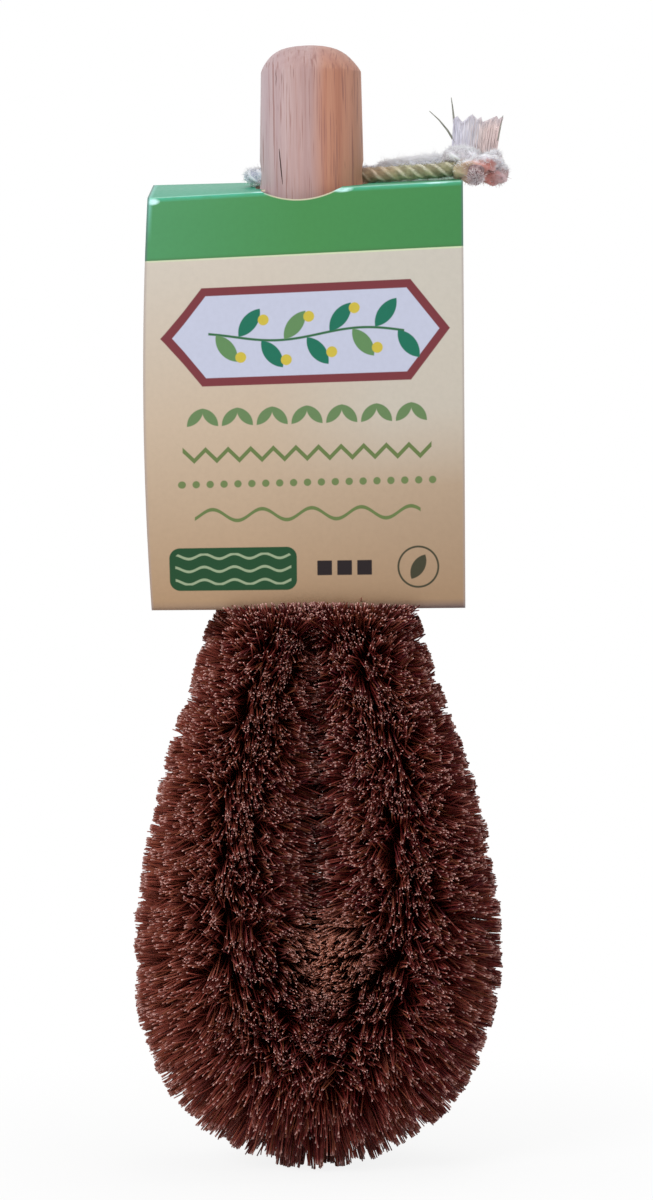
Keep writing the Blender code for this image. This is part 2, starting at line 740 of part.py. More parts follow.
def main():
    clear_scene()
    wood = principled("rubberwood", (0.62, 0.42, 0.30), 0.55)
    steel = principled("galvanised_wire", (0.55, 0.55, 0.54), 0.4, 0.9)
    fibre = principled("coir_fibre", (0.16, 0.065, 0.035), 0.85)
    card = principled("printed_card", (0.62, 0.52, 0.36), 0.5)
    cotton = principled("cotton_rope", (0.74, 0.70, 0.62), 0.9)
    brush = bpy.data.objects.new("brush", None)
    sliding = bpy.data.objects.new("sleeve_slide", None)
    for empty in (brush, sliding):
        bpy.context.scene.collection.objects.link(empty)
    handle(wood, brush)
    first = wire_strand("wire_strand_a", 0.0, steel, brush)
    second = wire_strand("wire_strand_b", math.pi, steel, brush)
    gap = least_gap(first, second, WIRE_RADIUS, 0)
    print(f"wires: least gap to each other {gap * 1000:.2f} mm")
    coir(fibre, brush)
    card_sleeve(card, sliding)
    rope(cotton, brush)


main()
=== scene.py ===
"""Looks for the washing-up brush: coir bristles gripped by a looped pair of twisted
wires, a turned rubberwood handle, a laid cotton rope with its knot and frayed end,
and a printed card sleeve. Metres, +Z up, the front faces -Y.
"""

import math
from functools import reduce

import bmesh
import bpy
import numpy as np
from mathutils import Matrix, Vector
from mathutils import noise as lumps
from mathutils.kdtree import KDTree


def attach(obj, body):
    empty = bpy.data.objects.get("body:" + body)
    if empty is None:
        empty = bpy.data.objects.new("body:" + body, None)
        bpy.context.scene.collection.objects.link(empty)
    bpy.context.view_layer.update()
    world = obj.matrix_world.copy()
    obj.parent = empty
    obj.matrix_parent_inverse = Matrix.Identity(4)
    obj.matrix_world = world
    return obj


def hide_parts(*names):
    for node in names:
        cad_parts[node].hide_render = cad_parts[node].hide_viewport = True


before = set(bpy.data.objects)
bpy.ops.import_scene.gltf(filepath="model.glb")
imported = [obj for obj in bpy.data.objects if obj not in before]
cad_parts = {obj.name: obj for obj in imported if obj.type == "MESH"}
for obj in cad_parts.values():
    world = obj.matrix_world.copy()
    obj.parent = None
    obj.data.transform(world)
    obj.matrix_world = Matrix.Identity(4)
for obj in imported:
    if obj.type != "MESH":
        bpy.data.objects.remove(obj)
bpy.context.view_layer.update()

# Camera
CAMERA_PLACE = (0.00266, -1.0, 0.196)
CAMERA_AIM = (0.00266, 0.0, 0.1337)
CAMERA_ROLL = math.radians(-0.45)
SEEN_HEIGHT = 0.28124

# Wire loop and its bristles, as in the part's source
TIP_LENGTH = 0.0256
SHORTER_PER_METRE = 0.1254
BELLY_FULLNESS = 0.0015
BELLY_FULLNESS_HEIGHT = 0.0694
BELLY_FULLNESS_SPREAD = 0.020
HALF_THICKNESS = 0.0230
THINNER_PER_METRE = 0.06
THINNER_FROM_HEIGHT = 0.045
TWIST_PITCH = 0.0140
LOOP_HEIGHT = 0.1244
LOOP_BOTTOM_Z = 0.0251
BELLY_HALF_WIDTH = 0.0215
BELLY_HEIGHT = 0.0344
BOTTOM_ROUNDING = 0.0140
BELLY_ROUNDING_BELOW = 0.0140
BELLY_ROUNDING_ABOVE = 0.0520
NECK_ROUNDING = 0.0140
NECK_HALF_GAP = 0.0023
NECK_Z = LOOP_BOTTOM_Z + LOOP_HEIGHT
BARE_NECK = 0.0088
TUFTS_A_SIDE = 7

# Bristles
BRISTLES = 54000
BRISTLE_RADIUS = 0.00020
BRISTLE_TIP_RADIUS = 0.00016
ROOT_RADIUS = 0.0008
LOCK_SPREAD = math.radians(38)
LOOSE_SHARE = 0.34
LEAN_ALONG = (0.07, 0.17)
LARGE_LOCKS = (900, 0.05, 0.36, 0.0011)
SMALL_LOCKS = (9000, 0.10, 0.45, 0.0002)
SHORT_SHARE = 0.26
SHORT_AT_FOOT = 0.30
SHORT_RANGE = (0.72, 0.97)
FOOT_TOP = 0.055
FOOT_FADE = 0.030
TRIM_SPREAD = 0.012
TRIM_LIMITS = (-0.03, 0.02)
WANDER = 0.030
LOCK_REACH = 0.006
TIGHT_TURN = 5.0
RIM_LENGTH = 0.060
RIM_SHARE = 0.24
RIM_SPREAD = 0.30
RIM_FROM = 0.75
RIM_FIRMNESS = 1.0
CROWDED_PLACE = (0.0025, 0.0500)
CROWDED_RADIUS = 0.0120
CROWDED_DEPTH = 0.0165
END_ON = (2.0, 0.0, 2.0)
DUSTY_PLACE = (0.0036, -0.0130, 0.0510)
TINT_KINDS = 977.0
INNER_FAN = math.radians(4)
CROSS_OVER = (-0.0010, 0.0042)
FRINGE_SHARE = 0.42
FRINGE_ROOTS = (0.1205, 0.1303)
FRINGE_REACH = (-0.0190, -0.0180)
FRINGE_TOP = 0.1344
FRINGE_SPAN = (-0.0202, 0.0235)
FRINGE_BEFORE = -0.0045
FRINGE_RAGGED = 0.0040
TRIM_HEIGHTS = (0.004, 0.008, 0.013, 0.020, 0.027, 0.034, 0.041, 0.048, 0.055, 0.062,
                0.068, 0.074, 0.080, 0.086, 0.095, 0.104, 0.114, 0.123, 0.131)
TRIM_LEFT = (0.0014, 0.0018, 0.0028, 0.0023, 0.0019, 0.0016, 0.0013, -0.0003, 0.0004, -0.0003,
             -0.0003, -0.0005, -0.0002, -0.0015, -0.0011, -0.0009, -0.0010, 0.0009, 0.0023)
TRIM_RIGHT = (-0.0008, 0.0004, 0.0019, 0.0012, 0.0005, 0.0007, 0.0006, 0.0007, -0.0003, 0.0007,
              -0.0004, -0.0003, -0.0004, -0.0011, -0.0012, -0.0019, -0.0011, 0.0001, 0.0020)

# Handle
HANDLE_BOTTOM_Z = 0.1475
HANDLE_TOP_Z = 0.2629
HANDLE_RADIUS = 0.0124
HANDLE_TOP_RADIUS = 0.01165
DOME_RISE = 0.0062
DOME_RISES = (0.0, 0.10, 0.20, 0.32, 0.45, 0.56, 0.66, 0.76, 0.84, 0.90, 0.95, 0.985, 1.0)
DOME_WIDTHS = (1.0, 0.975, 0.945, 0.90, 0.845, 0.79, 0.73, 0.65, 0.565, 0.465, 0.34, 0.18, 0.0)
DOME_LEAN = 0.0007
HANDLE_SIDES = 96
HANDLE_FOOT = ((0.0020, 0.0010), (0.0010, 0.0030))  # each step's height, and how far in it goes
DOME_STEPS = 12
SOCKET_RADIUS = 0.00495
SOCKET_TOP_Z = 0.1761
ROPE_HOLE_RADIUS = 0.0032
ROPE_HOLE_INNER = 0.01124
ROPE_HOLE_FLARE = (0.00332, 0.00375, 0.00448, 0.0056)
FLARE_STEP = 0.0006
SPLIT_TOP = (-0.0076, -0.00980, 0.2401)
SPLIT_FOOT = (-0.0067, -0.01043, 0.2303)
SPLIT_SIZE = (0.00013, 0.0011)

# Card sleeve
CARD = 0.00045
SLEEVE_WIDTH = 0.0724
SLEEVE_CENTRE_X = -0.0015
SLEEVE_FRONT = 0.0155
SLEEVE_BACK = 0.0205
SLEEVE_HEIGHT = 0.0966
SLEEVE_BOTTOM_Z = 0.1325
SLEEVE_TOP_SLANT = 0.0479
SLEEVE_BACK_RISE = 0.0032
SLEEVE_BACK_TWIST = -0.030
SLEEVE_BOW = 0.0010
SLEEVE_EDGE_BULGE = 0.0014
SLEEVE_EDGE_REACH = 0.0095
SLEEVE_FOLD = 0.0012
GLUE_FLAP = 0.0140
FLAP_THICKNESS = 0.00042
FLAP_CORNER = 0.004
SLEEVE_TOP_Z = SLEEVE_BOTTOM_Z + SLEEVE_HEIGHT
SLEEVE_LEFT = SLEEVE_CENTRE_X - SLEEVE_WIDTH / 2
HANDLE_HOLE_SPARE = 0.0008
HOLE_FRONT_REACH = 0.0134
HOLE_SQUARENESS = 2.2
HOLE_SIDES = 96
DIP_DEPTH = 0.0023
DIP_HALF_WIDTH = 0.0093
DIP_CENTRE_X = -0.0024
NECK_HOLE_HALF_WIDTH = 0.0250
NECK_HOLE_HALF_DEPTH = 0.0133

# The print on the card, in millimetres of its flat sheet
SHEET_LENGTH = 1000 * (2 * SLEEVE_HEIGHT + SLEEVE_FRONT + SLEEVE_BACK)
SHEET_MIDDLE = 36.2
INK_EDGE = 0.10
GREEN_FROM = 81.8
MARKS_Y = 9.6
# Painted glints on the folds: place across, half width and height on the sheet, in mm.
GLINT_SPOTS = ((44.8, 2.4, 96.2), (66.5, 3.8, 96.9), (1.2, 1.6, 95.6), (28.0, 4.0, 97.1))

# Rope
ROPE_RADIUS = 0.0020
ROPE_SKIN = 0.0018
STRAND_GROOVE = 0.87
ROPE_LAY = 0.0090
ROPE_Z = SLEEVE_TOP_Z + 0.0016 + ROPE_RADIUS
KNOT_RING = 0.0044
KNOT_SWELL = 0.00195
KNOT_SKIN = 0.0021
KNOT_GROOVE = 0.88
KNOT_TILT = math.radians(8)
KNOT_TURN = math.radians(35)
KNOT_CENTRE = (0.0383, 0.0005, ROPE_Z + 0.0020)
ROPE_STEP = 0.0004
KNOT_STEPS = 220
CUT_END_REACH = (-0.0006, -0.0046, -0.0029)
HAIR = (0.00006, 0.00003)
THICK_HAIR = (0.00009, 0.00005)
STRAY_HAIR = (0.00034, 0.00010)
WISPS = (
    ((0.0334, -0.0004, 0.2402), (0.0275, -0.0004, 0.2475), (-0.0012, 0.0, -0.0016)),
    ((0.0333, 0.0, 0.2440), (0.0326, 0.0, 0.2506), (-0.0003, 0.0, 0.0)),
    ((0.0433, -0.0004, 0.2405), (0.0446, -0.0004, 0.2463), (0.0002, 0.0, 0.0)),
)
WEB_THICKNESS = 0.0009
FRAY_LEFT = 0.0333
FRAY_WIDTH = 0.0112
FRAY_TOP = (
    (0.0334, 0.2459), (0.0340, 0.2463), (0.0352, 0.2449), (0.0367, 0.2462), (0.0375, 0.2467),
    (0.0381, 0.2461), (0.0387, 0.2455), (0.0395, 0.2461), (0.0399, 0.2449), (0.0432, 0.2463),
    (0.0436, 0.2455), (0.0444, 0.2461),
)
ROPE_FRONT_ROUTE = (
    (0.00015, 0.0, 0.0), (0.0050, 0.0, 0.0), (0.0100, 0.0, 0.0),
    (0.0140, -0.0002, 0.0001), (0.0180, -0.0008, 0.0003), (0.0220, -0.0014, 0.0005),
    (0.0260, -0.0018, 0.0007), (0.0300, -0.0018, 0.0010), (0.0336, -0.0018, 0.0014),
)
ROPE_BACK_ROUTE = (
    (-0.00015, 0.0, 0.0), (-0.0050, 0.0, 0.0), (-0.0095, 0.0, 0.0),
    (-0.0116, 0.0005, 0.0), (-0.0133, 0.0020, 0.0001), (-0.0141, 0.0046, 0.0002),
    (-0.0130, 0.0076, 0.0004), (-0.0107, 0.0107, 0.0009), (-0.0060, 0.0139, 0.0013),
    (0.0000, 0.0151, 0.0016), (0.0058, 0.0140, 0.0014), (0.0102, 0.0115, 0.0010),
    (0.0148, 0.0085, 0.0009), (0.0198, 0.0060, 0.0017), (0.0250, 0.0044, 0.0024),
    (0.0302, 0.0037, 0.0027), (0.0336, 0.0033, 0.0028),
)


# Selecting, shaping and finishing by hand


def only(piece):
    """Selects this piece and nothing else."""
    bpy.ops.object.select_all(action="DESELECT")
    piece.select_set(True)
    bpy.context.view_layer.objects.active = piece


def start_editing(piece):
    only(piece)
    bpy.ops.object.mode_set(mode="EDIT")
    bpy.ops.mesh.select_mode(type="FACE")
    bpy.ops.mesh.select_all(action="DESELECT")


def stop_editing():
    bpy.ops.object.mode_set(mode="OBJECT")


def turn_outward():
    """Turns every face of the piece to the outside."""
    bpy.ops.mesh.select_all(action="SELECT")
    bpy.ops.mesh.normals_make_consistent(inside=False)


def pick_faces(piece, wanted):
    """Selects the faces whose middle and normal pass the test."""
    bpy.ops.mesh.select_mode(type="FACE")
    bpy.ops.mesh.select_all(action="DESELECT")
    bm = bmesh.from_edit_mesh(piece.data)
    for face in bm.faces:
        face.select_set(wanted(face.calc_center_median(), face.normal))
    bmesh.update_edit_mesh(piece.data)


def pick_edges(piece, wanted):
    """Selects the edges whose two ends pass the test."""
    bpy.ops.mesh.select_mode(type="EDGE")
    bpy.ops.mesh.select_all(action="DESELECT")
    bm = bmesh.from_edit_mesh(piece.data)
    for edge in bm.edges:
        edge.select_set(wanted(edge.verts[0].co, edge.verts[1].co))
    bmesh.update_edit_mesh(piece.data)


def draw_out(shift, size=1.0, centre=(0, 0, 0)):
    """Extrudes what is selected, moves it, and scales it about a centre across the shift."""
    bpy.ops.mesh.extrude_region_move(TRANSFORM_OT_translate={"value": shift})
    if size != 1.0:
        sizes = tuple(1.0 if abs(part) > 1e-9 else size for part in shift)
        if not any(shift):
            sizes = (size, size, size)
        bpy.ops.transform.resize(value=sizes, center_override=centre)


def apply_all(piece):
    only(piece)
    for modifier in list(piece.modifiers):
        bpy.ops.object.modifier_apply(modifier=modifier.name)


def settled():
    """The new primitive, with its place, turn and size put into its mesh."""
    piece = bpy.context.object
    only(piece)
    bpy.ops.object.transform_apply(location=True, rotation=True, scale=True)
    return piece


def cut_away(piece, cutter):
    boolean = piece.modifiers.new("cut", "BOOLEAN")
    boolean.operation = "DIFFERENCE"
    boolean.solver = "EXACT"
    boolean.material_mode = "TRANSFER"
    boolean.object = cutter
    apply_all(piece)
    bpy.data.objects.remove(cutter, do_unlink=True)


def hand_over(piece, body, slot, *nodes, name=None, smooth=None):
    """Says what the finished piece moves with, and which solids it stands for."""
    if name:
        piece.name = piece.data.name = name
    if smooth:
        only(piece)
        bpy.ops.object.shade_smooth_by_angle(angle=math.radians(smooth))
    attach(piece, body)
    if nodes:
        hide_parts(*nodes)


def piece_from(name, points, faces, materials):
    mesh = bpy.data.meshes.new(name)
    mesh.from_pydata(points, [], faces)
    mesh.update()
    for material in materials:
        mesh.materials.append(material)
    piece = bpy.data.objects.new(name, mesh)
    bpy.context.scene.collection.objects.link(piece)
    return piece


def carry(piece, **values):
    """Stores a value at each of the piece's points, which its finish reads by name."""
    for name, numbers in values.items():
        layer = piece.data.attributes.new(name, "FLOAT", "POINT")
        layer.data.foreach_set("value", np.asarray(numbers, np.float32))


# Finishes


class Reading:
    """A value that a material's nodes work out at each spot, for sums written plainly."""

    def __init__(self, socket):
        self.socket = socket
        self.tree = socket.id_data

    def __add__(self, other):
        return sums("ADD", self, other)

    def __sub__(self, other):
        return sums("SUBTRACT", self, other)

    def __rsub__(self, other):
        return sums("SUBTRACT", other, self)

    def __mul__(self, other):
        return sums("MULTIPLY", self, other)

    def __truediv__(self, other):
        return sums("DIVIDE", self, other)

    def __pow__(self, other):
        return sums("POWER", self, other)

    def __abs__(self):
        return sums("ABSOLUTE", self)


def connect(socket, value):
    """Links an input to a reading, or sets it to a plain value."""
    if isinstance(value, Reading):
        value.tree.links.new(value.socket, socket)
    elif value is not None:
        socket.default_value = value


def node(tree, kind, *values, **settings):
    """A new node with its settings, and its inputs linked or set in their order."""
    made = tree.nodes.new("ShaderNode" + kind)
    for key, value in settings.items():
        setattr(made, key, value)
    for socket, value in zip(made.inputs, values):
        connect(socket, value)
    return made


def reading(tree, kind, *values, output=0, **settings):
    return Reading(node(tree, kind, *values, **settings).outputs[output])


def sums(operation, *values):
    tree = next(value.tree for value in values if isinstance(value, Reading))
    return reading(tree, "Math", *values, operation=operation)


def arrows(operation, arrow, *others, output=0):
    return reading(arrow.tree, "VectorMath", arrow, *others, output=output, operation=operation)


def apart(spot, place=(0, 0, 0)):
    """How far a spot is from a place."""
    return arrows("DISTANCE", spot, place, output="Value")


def lowest(*values):
    return reduce(lambda one, two: sums("MINIMUM", one, two), values)


def highest(*values):
    return reduce(lambda one, two: sums("MAXIMUM", one, two), values)


def ranged(value, low, high, to_low=0.0, to_high=1.0):
    return reading(value.tree, "MapRange", value, low, high, to_low, to_high)


def spot_of(tree, kind="Object"):
    """Where a spot is, in the piece's own coordinates or on its UV map."""
    return reading(tree, "TexCoord", output=kind)


def parts_of(spot):
    return [Reading(part) for part in node(spot.tree, "SeparateXYZ", spot).outputs]


def attribute(tree, name):
    return reading(tree, "Attribute", output="Fac", attribute_name=name)


def noise(tree, scale, detail=3.0, roughness=0.5, stretch=(1.0, 1.0, 1.0),
          turn=(0.0, 0.0, 0.0), kind="Object"):
    """A soft noise in the piece's own coordinates, stretched and turned."""
    place = reading(tree, "Mapping", spot_of(tree, kind), None, turn, stretch)
    made = node(tree, "TexNoise", place)
    made.inputs["Scale"].default_value = scale
    made.inputs["Detail"].default_value = detail
    made.inputs["Roughness"].default_value = roughness
    return Reading(made.outputs[0])


def shade(colour):
    """Three parts from 0 to 255 become a colour as the shader takes it."""
    if not isinstance(colour, tuple) or len(colour) == 4:
        return colour
    parts = [part / 255 for part in colour]
    parts = [part / 12.92 if part < 0.04045 else ((part + 0.055) / 1.055) ** 2.4 for part in parts]
    return (*parts, 1.0)


def ramp(value, *stops):
    made = node(value.tree, "ValToRGB", value)
    elements = made.color_ramp.elements
    while len(elements) < len(stops):
        elements.new(0.5)
    for element, (position, colour) in zip(elements, stops):
        element.position = position
        element.color = shade(colour)
    return Reading(made.outputs[0])


def over(under, colour, mask):
    """The colour laid over another where the mask is 1."""
    mix = node(mask.tree, "Mix", mask, data_type="RGBA")
    connect(mix.inputs[6], shade(under))
    connect(mix.inputs[7], shade(colour))
    return Reading(mix.outputs[2])


def layered(colour, *layers):
    """The colour with others laid over it in turn, each with its mask."""
    for layer, mask in layers:
        colour = over(colour, layer, mask)
    return colour


def shader_of(material):
    return material.node_tree.nodes["Principled BSDF"]


def finish(name, roughness, specular=0.5, metallic=0.0):
    """A new material and its tree of nodes."""
    material = bpy.data.materials.new(name)
    material.use_nodes = True
    shader = shader_of(material)
    shader.inputs["Roughness"].default_value = roughness
    shader.inputs["Specular IOR Level"].default_value = specular
    shader.inputs["Metallic"].default_value = metallic
    return material, material.node_tree


def coated(material, colour, height=None, strength=0.0, distance=0.0, roughness=None):
    """The material with its colour, its bump where it has a height, and its roughness."""
    shader = shader_of(material)
    connect(shader.inputs["Base Color"], colour)
    connect(shader.inputs["Roughness"], roughness)
    if height is not None:
        made = node(height.tree, "Bump")
        made.inputs["Strength"].default_value = strength
        made.inputs["Distance"].default_value = distance
        connect(made.inputs["Height"], height)
        connect(shader.inputs["Normal"], Reading(made.outputs[0]))
    return material


def coir_finish():
    """Brown coir, each strand its own tint, with painted shade towards the root.
    Its cut tip is paler, partly from use and partly as a painted highlight.
    """
    material, tree = finish("coir_fibre", 0.50, 0.06)
    along, tint = attribute(tree, "along"), attribute(tree, "tint")
    spot = spot_of(tree)
    across = parts_of(spot)[0]
    kind = reading(tree, "TexWhiteNoise", None, tint * TINT_KINDS, output="Value",
                   noise_dimensions="1D")
    patches = noise(tree, 90.0, 2.0)
    locks = noise(tree, 300.0, 1.0)
    colour = ramp(
        tint,
        (0.0, (0.058, 0.003, 0.003, 1)), (0.35, (0.110, 0.011, 0.009, 1)),
        (0.60, (0.190, 0.028, 0.023, 1)), (0.80, (0.360, 0.078, 0.060, 1)),
        (1.0, (0.650, 0.260, 0.200, 1)),
    )
    ochre, plum, faded = (0.300, 0.120, 0.045, 1), (0.140, 0.034, 0.052, 1), (0.27, 0.074, 0.032, 1)
    deep, light, left = (0.040, 0.004, 0.006, 1), (0.32, 0.112, 0.082, 1), (0.37, 0.100, 0.060, 1)
    colour = layered(
        colour,
        (ochre, ranged(kind, 0.74, 1.0, 0.0, 0.55)),
        (plum, ranged(kind, 0.26, 0.0, 0.0, 0.60)),
        (faded, ranged(patches, 0.52, 0.80, 0.0, 0.40)),
        (deep, ranged(locks, 0.50, 0.30, 0.0, 0.55)),
        (light, ranged(locks, 0.54, 0.74, 0.0, 0.45)),
        (left, ranged(across, -0.036, -0.014, 0.40, 0.0)),
    )
    # Painted shade: the dark root colour where the bristles crowd into the loop.
    root = (0.100, 0.002, 0.003, 1)
    colour = over(root, colour, ranged(along, 0.28, 0.92))
    dusty = ranged(apart(spot, DUSTY_PLACE), 0.003, 0.013, 1.0, 0.0)
    dusty = dusty * ranged(along, 0.70, 0.98, 0.45, 1.0) * ranged(tint, 0.15, 0.70, 0.45, 1.0)
    # The pale tips are partly from use and partly a painted highlight.
    tip_wear_and_highlight = ranged(along, 0.962, 1.0) * ranged(tint, 0.30, 0.85)
    dust, wear_and_sheen = (0.76, 0.33, 0.22, 1), (0.80, 0.49, 0.44, 1)
    return coated(material, layered(colour, (dust, dusty), (wear_and_sheen, tip_wear_and_highlight)))


def wood_colours(tree, across, up):
    """Pinkish sapwood on the left, warm heartwood from just right of the middle. Painted light
    lies over them: a lilac glow down the left side, a lighter painted reflection down the
    right side, and a paler top to the dome, lit from above.
    """
    sway = noise(tree, 1.0, 2.0, stretch=(60, 60, 14))
    heart = ranged(across + ranged(sway, 0.3, 0.7, -0.0016, 0.0016), -0.0002, 0.0036)
    broad = noise(tree, 1.0, 3.0, 0.6, (420, 420, 16))
    pale = ramp(broad, (0.30, (160, 126, 124)), (0.50, (172, 141, 138)), (0.72, (182, 155, 152)))
    warm = ramp(broad, (0.30, (164, 107, 86)), (0.52, (178, 122, 99)), (0.75, (188, 136, 112)))
    # Painted light: a lilac glow along the left side.
    pale = over(pale, (198, 182, 190), ranged(across, -0.0120, -0.0040, 0.60, 0.0))
    # Painted reflection: lighter along the right side.
    warm = over(warm, (212, 160, 138), ranged(across, 0.0060, 0.0118, 0.0, 0.50))
    # Painted light: the dome's top paler where light falls from above.
    lit_dome_top = ranged(up, 0.2560, 0.2622, 0.0, 0.30)
    return layered(pale, (warm, heart), ((198, 172, 172), lit_dome_top))


def wood_finish():
    """Turned rubberwood: long grain lines, short dark pores, and one fine crack with painted shade.
    """
    material, tree = finish("rubberwood", 0.52, 0.35)
    across, depth, up = parts_of(spot_of(tree))
    plain = ranged(up, 0.2585, 0.2625, 1.0, 0.7)
    lines = noise(tree, 1.0, 5.0, 0.75, (1500, 260, 44), (0.02, 0.03, 0))
    threads = noise(tree, 1.0, 2.0, 0.5, (2900, 380, 64), (-0.02, 0.03, 0))
    pores = noise(tree, 1.0, 1.0, stretch=(2600, 500, 120))
    wander = noise(tree, 1.0, 1.0, stretch=(90, 90, 500))
    aside = across + ranged(wander, 0.3, 0.7, 0.0079, 0.0081)
    # Painted shade: a dark line along the crack.
    narrow = ranged(abs(aside), 0.00003, 0.00015, 0.7, 0.0)
    above = ranged(up, 0.2528, 0.2540)
    below = ranged(up, 0.2560, 0.2572, 1.0, 0.0)
    facing = ranged(depth, -0.002, 0.0, 1.0, 0.0)
    colour = layered(
        wood_colours(tree, across, up),
        ((166, 118, 108), ranged(lines, 0.52, 0.70, 0.0, 0.45) * plain),
        ((138, 92, 84), ranged(threads, 0.57, 0.66, 0.0, 0.70) * plain),
        ((96, 60, 50), ranged(pores, 0.72, 0.78, 0.0, 0.6) * plain),
        ((70, 40, 32), (narrow * above) * (below * facing)),
    )
    return coated(material, colour, lines - pores * 0.8, 0.35, 0.00012)


def plain_finish(name, colour, other, scale, roughness, specular=0.4):
    """Two near colours mixed by a soft noise, with a little tooth."""
    material, tree = finish(name, roughness, specular)
    cloud = noise(tree, scale)
    return coated(material, ramp(cloud, (0.35, colour), (0.65, other)), cloud, 0.3, 0.00008)


def steel_finish():
    """Galvanised wire, brighter where the tool rubbed it."""
    material, tree = finish("galvanised_wire", 0.38, 0.5, 0.9)
    spangle = noise(tree, 2600.0, 2.0)
    grey = ramp(spangle, (0.35, (0.36, 0.37, 0.38, 1)), (0.65, (0.58, 0.59, 0.60, 1)))
    return coated(material, grey, roughness=ranged(spangle, 0.3, 0.7, 0.30, 0.50))


def soften(material):
    """Cotton lets light a little way in, which fills its grooves."""
    shader = shader_of(material)
    shader.inputs["Subsurface Weight"].default_value = 0.8
    shader.inputs["Subsurface Radius"].default_value = (1.0, 0.95, 0.9)
    shader.inputs["Subsurface Scale"].default_value = 0.0010


def down_finish():
    """Loose white cotton."""
    return coated(finish("cotton_down", 1.0, 0.0)[0], shade((252, 252, 255)))


def cotton_finish(name, crown, groove, stain, stained, blush=0.0):
    """Laid cotton: painted shade between the strands, with fine yarns, a soft stain and a blush."""
    material, tree = finish(name, 0.95, 0.10)
    yarns = noise(tree, 1.6, 3.0, 0.6, (0.9, 26.0, 1.0), (0, 0, 0.32), "UV")
    patches = noise(tree, 260.0, 2.0)
    across = parts_of(spot_of(tree))[0]
    # The groove colour is painted shade between the strands; the crown colour covers it where they
    # stand high.
    colour = layered(
        groove,
        (crown, ranged(attribute(tree, "crown"), 0.0, 0.8)),
        (stain, ranged(patches, 0.50 - stained, 0.70 - stained)),
        (groove, ranged(yarns, 0.50, 0.68, 0.0, 0.60)),
        ((206, 150, 128), ranged(across, 0.010, 0.022, blush, 0.0)),
    )
    soften(material)
    return coated(material, colour, yarns, 0.8, 0.00030)


def knot_finish():
    """The knot's cotton: white over the top, reddish in the middle, olive brown at the rope.
    Its grooves get painted shade.
    """
    material, tree = finish("cotton_knot", 1.0, 0.0)
    across, _, height = parts_of(arrows("SUBTRACT", spot_of(tree), KNOT_CENTRE))
    shift = ranged(noise(tree, 420.0), 0.3, 0.7, -0.0012, 0.0012)
    across, height = across + shift, height + shift
    colour = ramp(
        ranged(across, -0.0060, 0.0060),
        (0.0, (196, 180, 146)), (0.28, (210, 184, 164)), (0.50, (222, 176, 168)),
        (0.70, (212, 146, 140)), (1.0, (222, 190, 194)),
    )
    outer = ranged(across, 0.0040, 0.0054) * ranged(height, -0.0012, 0.0002)
    white = highest(ranged(height, 0.0004, 0.0016), outer)
    # Painted shade in the grooves between the strands.
    groove = ranged(attribute(tree, "crown"), 0.0, 0.6, 0.30, 0.0)
    colour = layered(colour, ((246, 244, 254), white), ((132, 96, 84), groove))
    soften(material)
    return coated(material, colour, noise(tree, 2600.0), 0.8, 0.0003)


def fibre_finish():
    """Untwisted cotton fibres: cool white on the left, stained pinkish beige to the right."""
    material, tree = finish("cotton_fibre", 0.9, 0.05)
    streaks = noise(tree, 1.0, 3.0, 0.6, (2600, 2600, 90))
    colour = ramp(
        attribute(tree, "tint"),
        (0.0, (236, 234, 248)), (0.35, (242, 240, 248)), (0.6, (244, 230, 228)),
        (1.0, (242, 222, 220)),
    )
    return coated(material, layered(
        colour,
        ((214, 210, 220), ranged(attribute(tree, "along"), 0.75, 1.0, 0.0, 0.5)),
        ((206, 192, 192), ranged(streaks, 0.50, 0.70, 0.0, 0.4)),
    ))


# The sleeve's print and its painted light and shade, drawn in millimetres on the card's own
# UV map. Each shape is a signed distance: lowest joins shapes, and highest keeps what they share.


def edge_mask(distance):
    """1 inside a shape, 0 outside."""
    return ranged(distance, INK_EDGE, -INK_EDGE)


def leaf(spot, x, y, angle, length, width):
    """A pointed leaf: the overlap of two discs."""
    radius = (length**2 + width**2) / (4 * width)
    offset = radius - width / 2
    turn = math.radians(angle)
    aside = (-math.sin(turn) * offset, math.cos(turn) * offset)
    one = apart(spot, (x + aside[0], y + aside[1], 0))
    two = apart(spot, (x - aside[0], y - aside[1], 0))
    return highest(one, two) - radius


def plate(spot, x, y, half_x, half_y, corner):
    """A rectangle with round corners."""
    aside = arrows("ABSOLUTE", arrows("SUBTRACT", spot, (x, y, 0)))
    past = arrows("SUBTRACT", aside, (half_x - corner, half_y - corner, 0))
    return apart(arrows("MAXIMUM", past, (0, 0, 0))) - corner


def long_hexagon(spot, x, y, half_x, half_y, shoulder):
    """A long hexagon with a point at its left and right."""
    aside = arrows("ABSOLUTE", arrows("SUBTRACT", spot, (x, y, 0)))
    run = math.hypot(half_y, half_x - shoulder)
    slope = (half_y / run, (half_x - shoulder) / run, 0)
    slanted = arrows("DOT_PRODUCT", aside, slope, output="Value") - slope[0] * half_x
    return highest(slanted, parts_of(aside)[1] - half_y)


def sprig(spot, x, y, half_length):
    """A stem with leaves to both sides, and berries between them."""
    across, up, _ = parts_of(spot)
    sway, pace, leaves, lean, from_stem = 1.1, 0.16, 9, 52, 4.2
    stem_y = sums("SINE", across * pace) * sway + y
    stem = highest(abs(up - stem_y) - 0.28, abs(across - x) - half_length)
    dark, light, berries = [], [], []
    for i in range(leaves):
        place = x + half_length * (2 * i / (leaves - 1) - 1) * 0.93
        foot = y + sway * math.sin(place * pace)
        side = 1 if i % 2 else -1
        lift = math.radians(lean * side)
        group = dark if i % 3 else light
        group.append(leaf(spot, place + from_stem * math.cos(lift),
                          foot + from_stem * math.sin(lift), lean * side, 8.0, 3.5))
        if 0 < i < leaves - 1:
            berries.append(apart(spot, (place + 0.6, foot - 4.6 * side, 0)) - 1.25)
    return stem, lowest(*dark), lowest(*light), lowest(*berries)


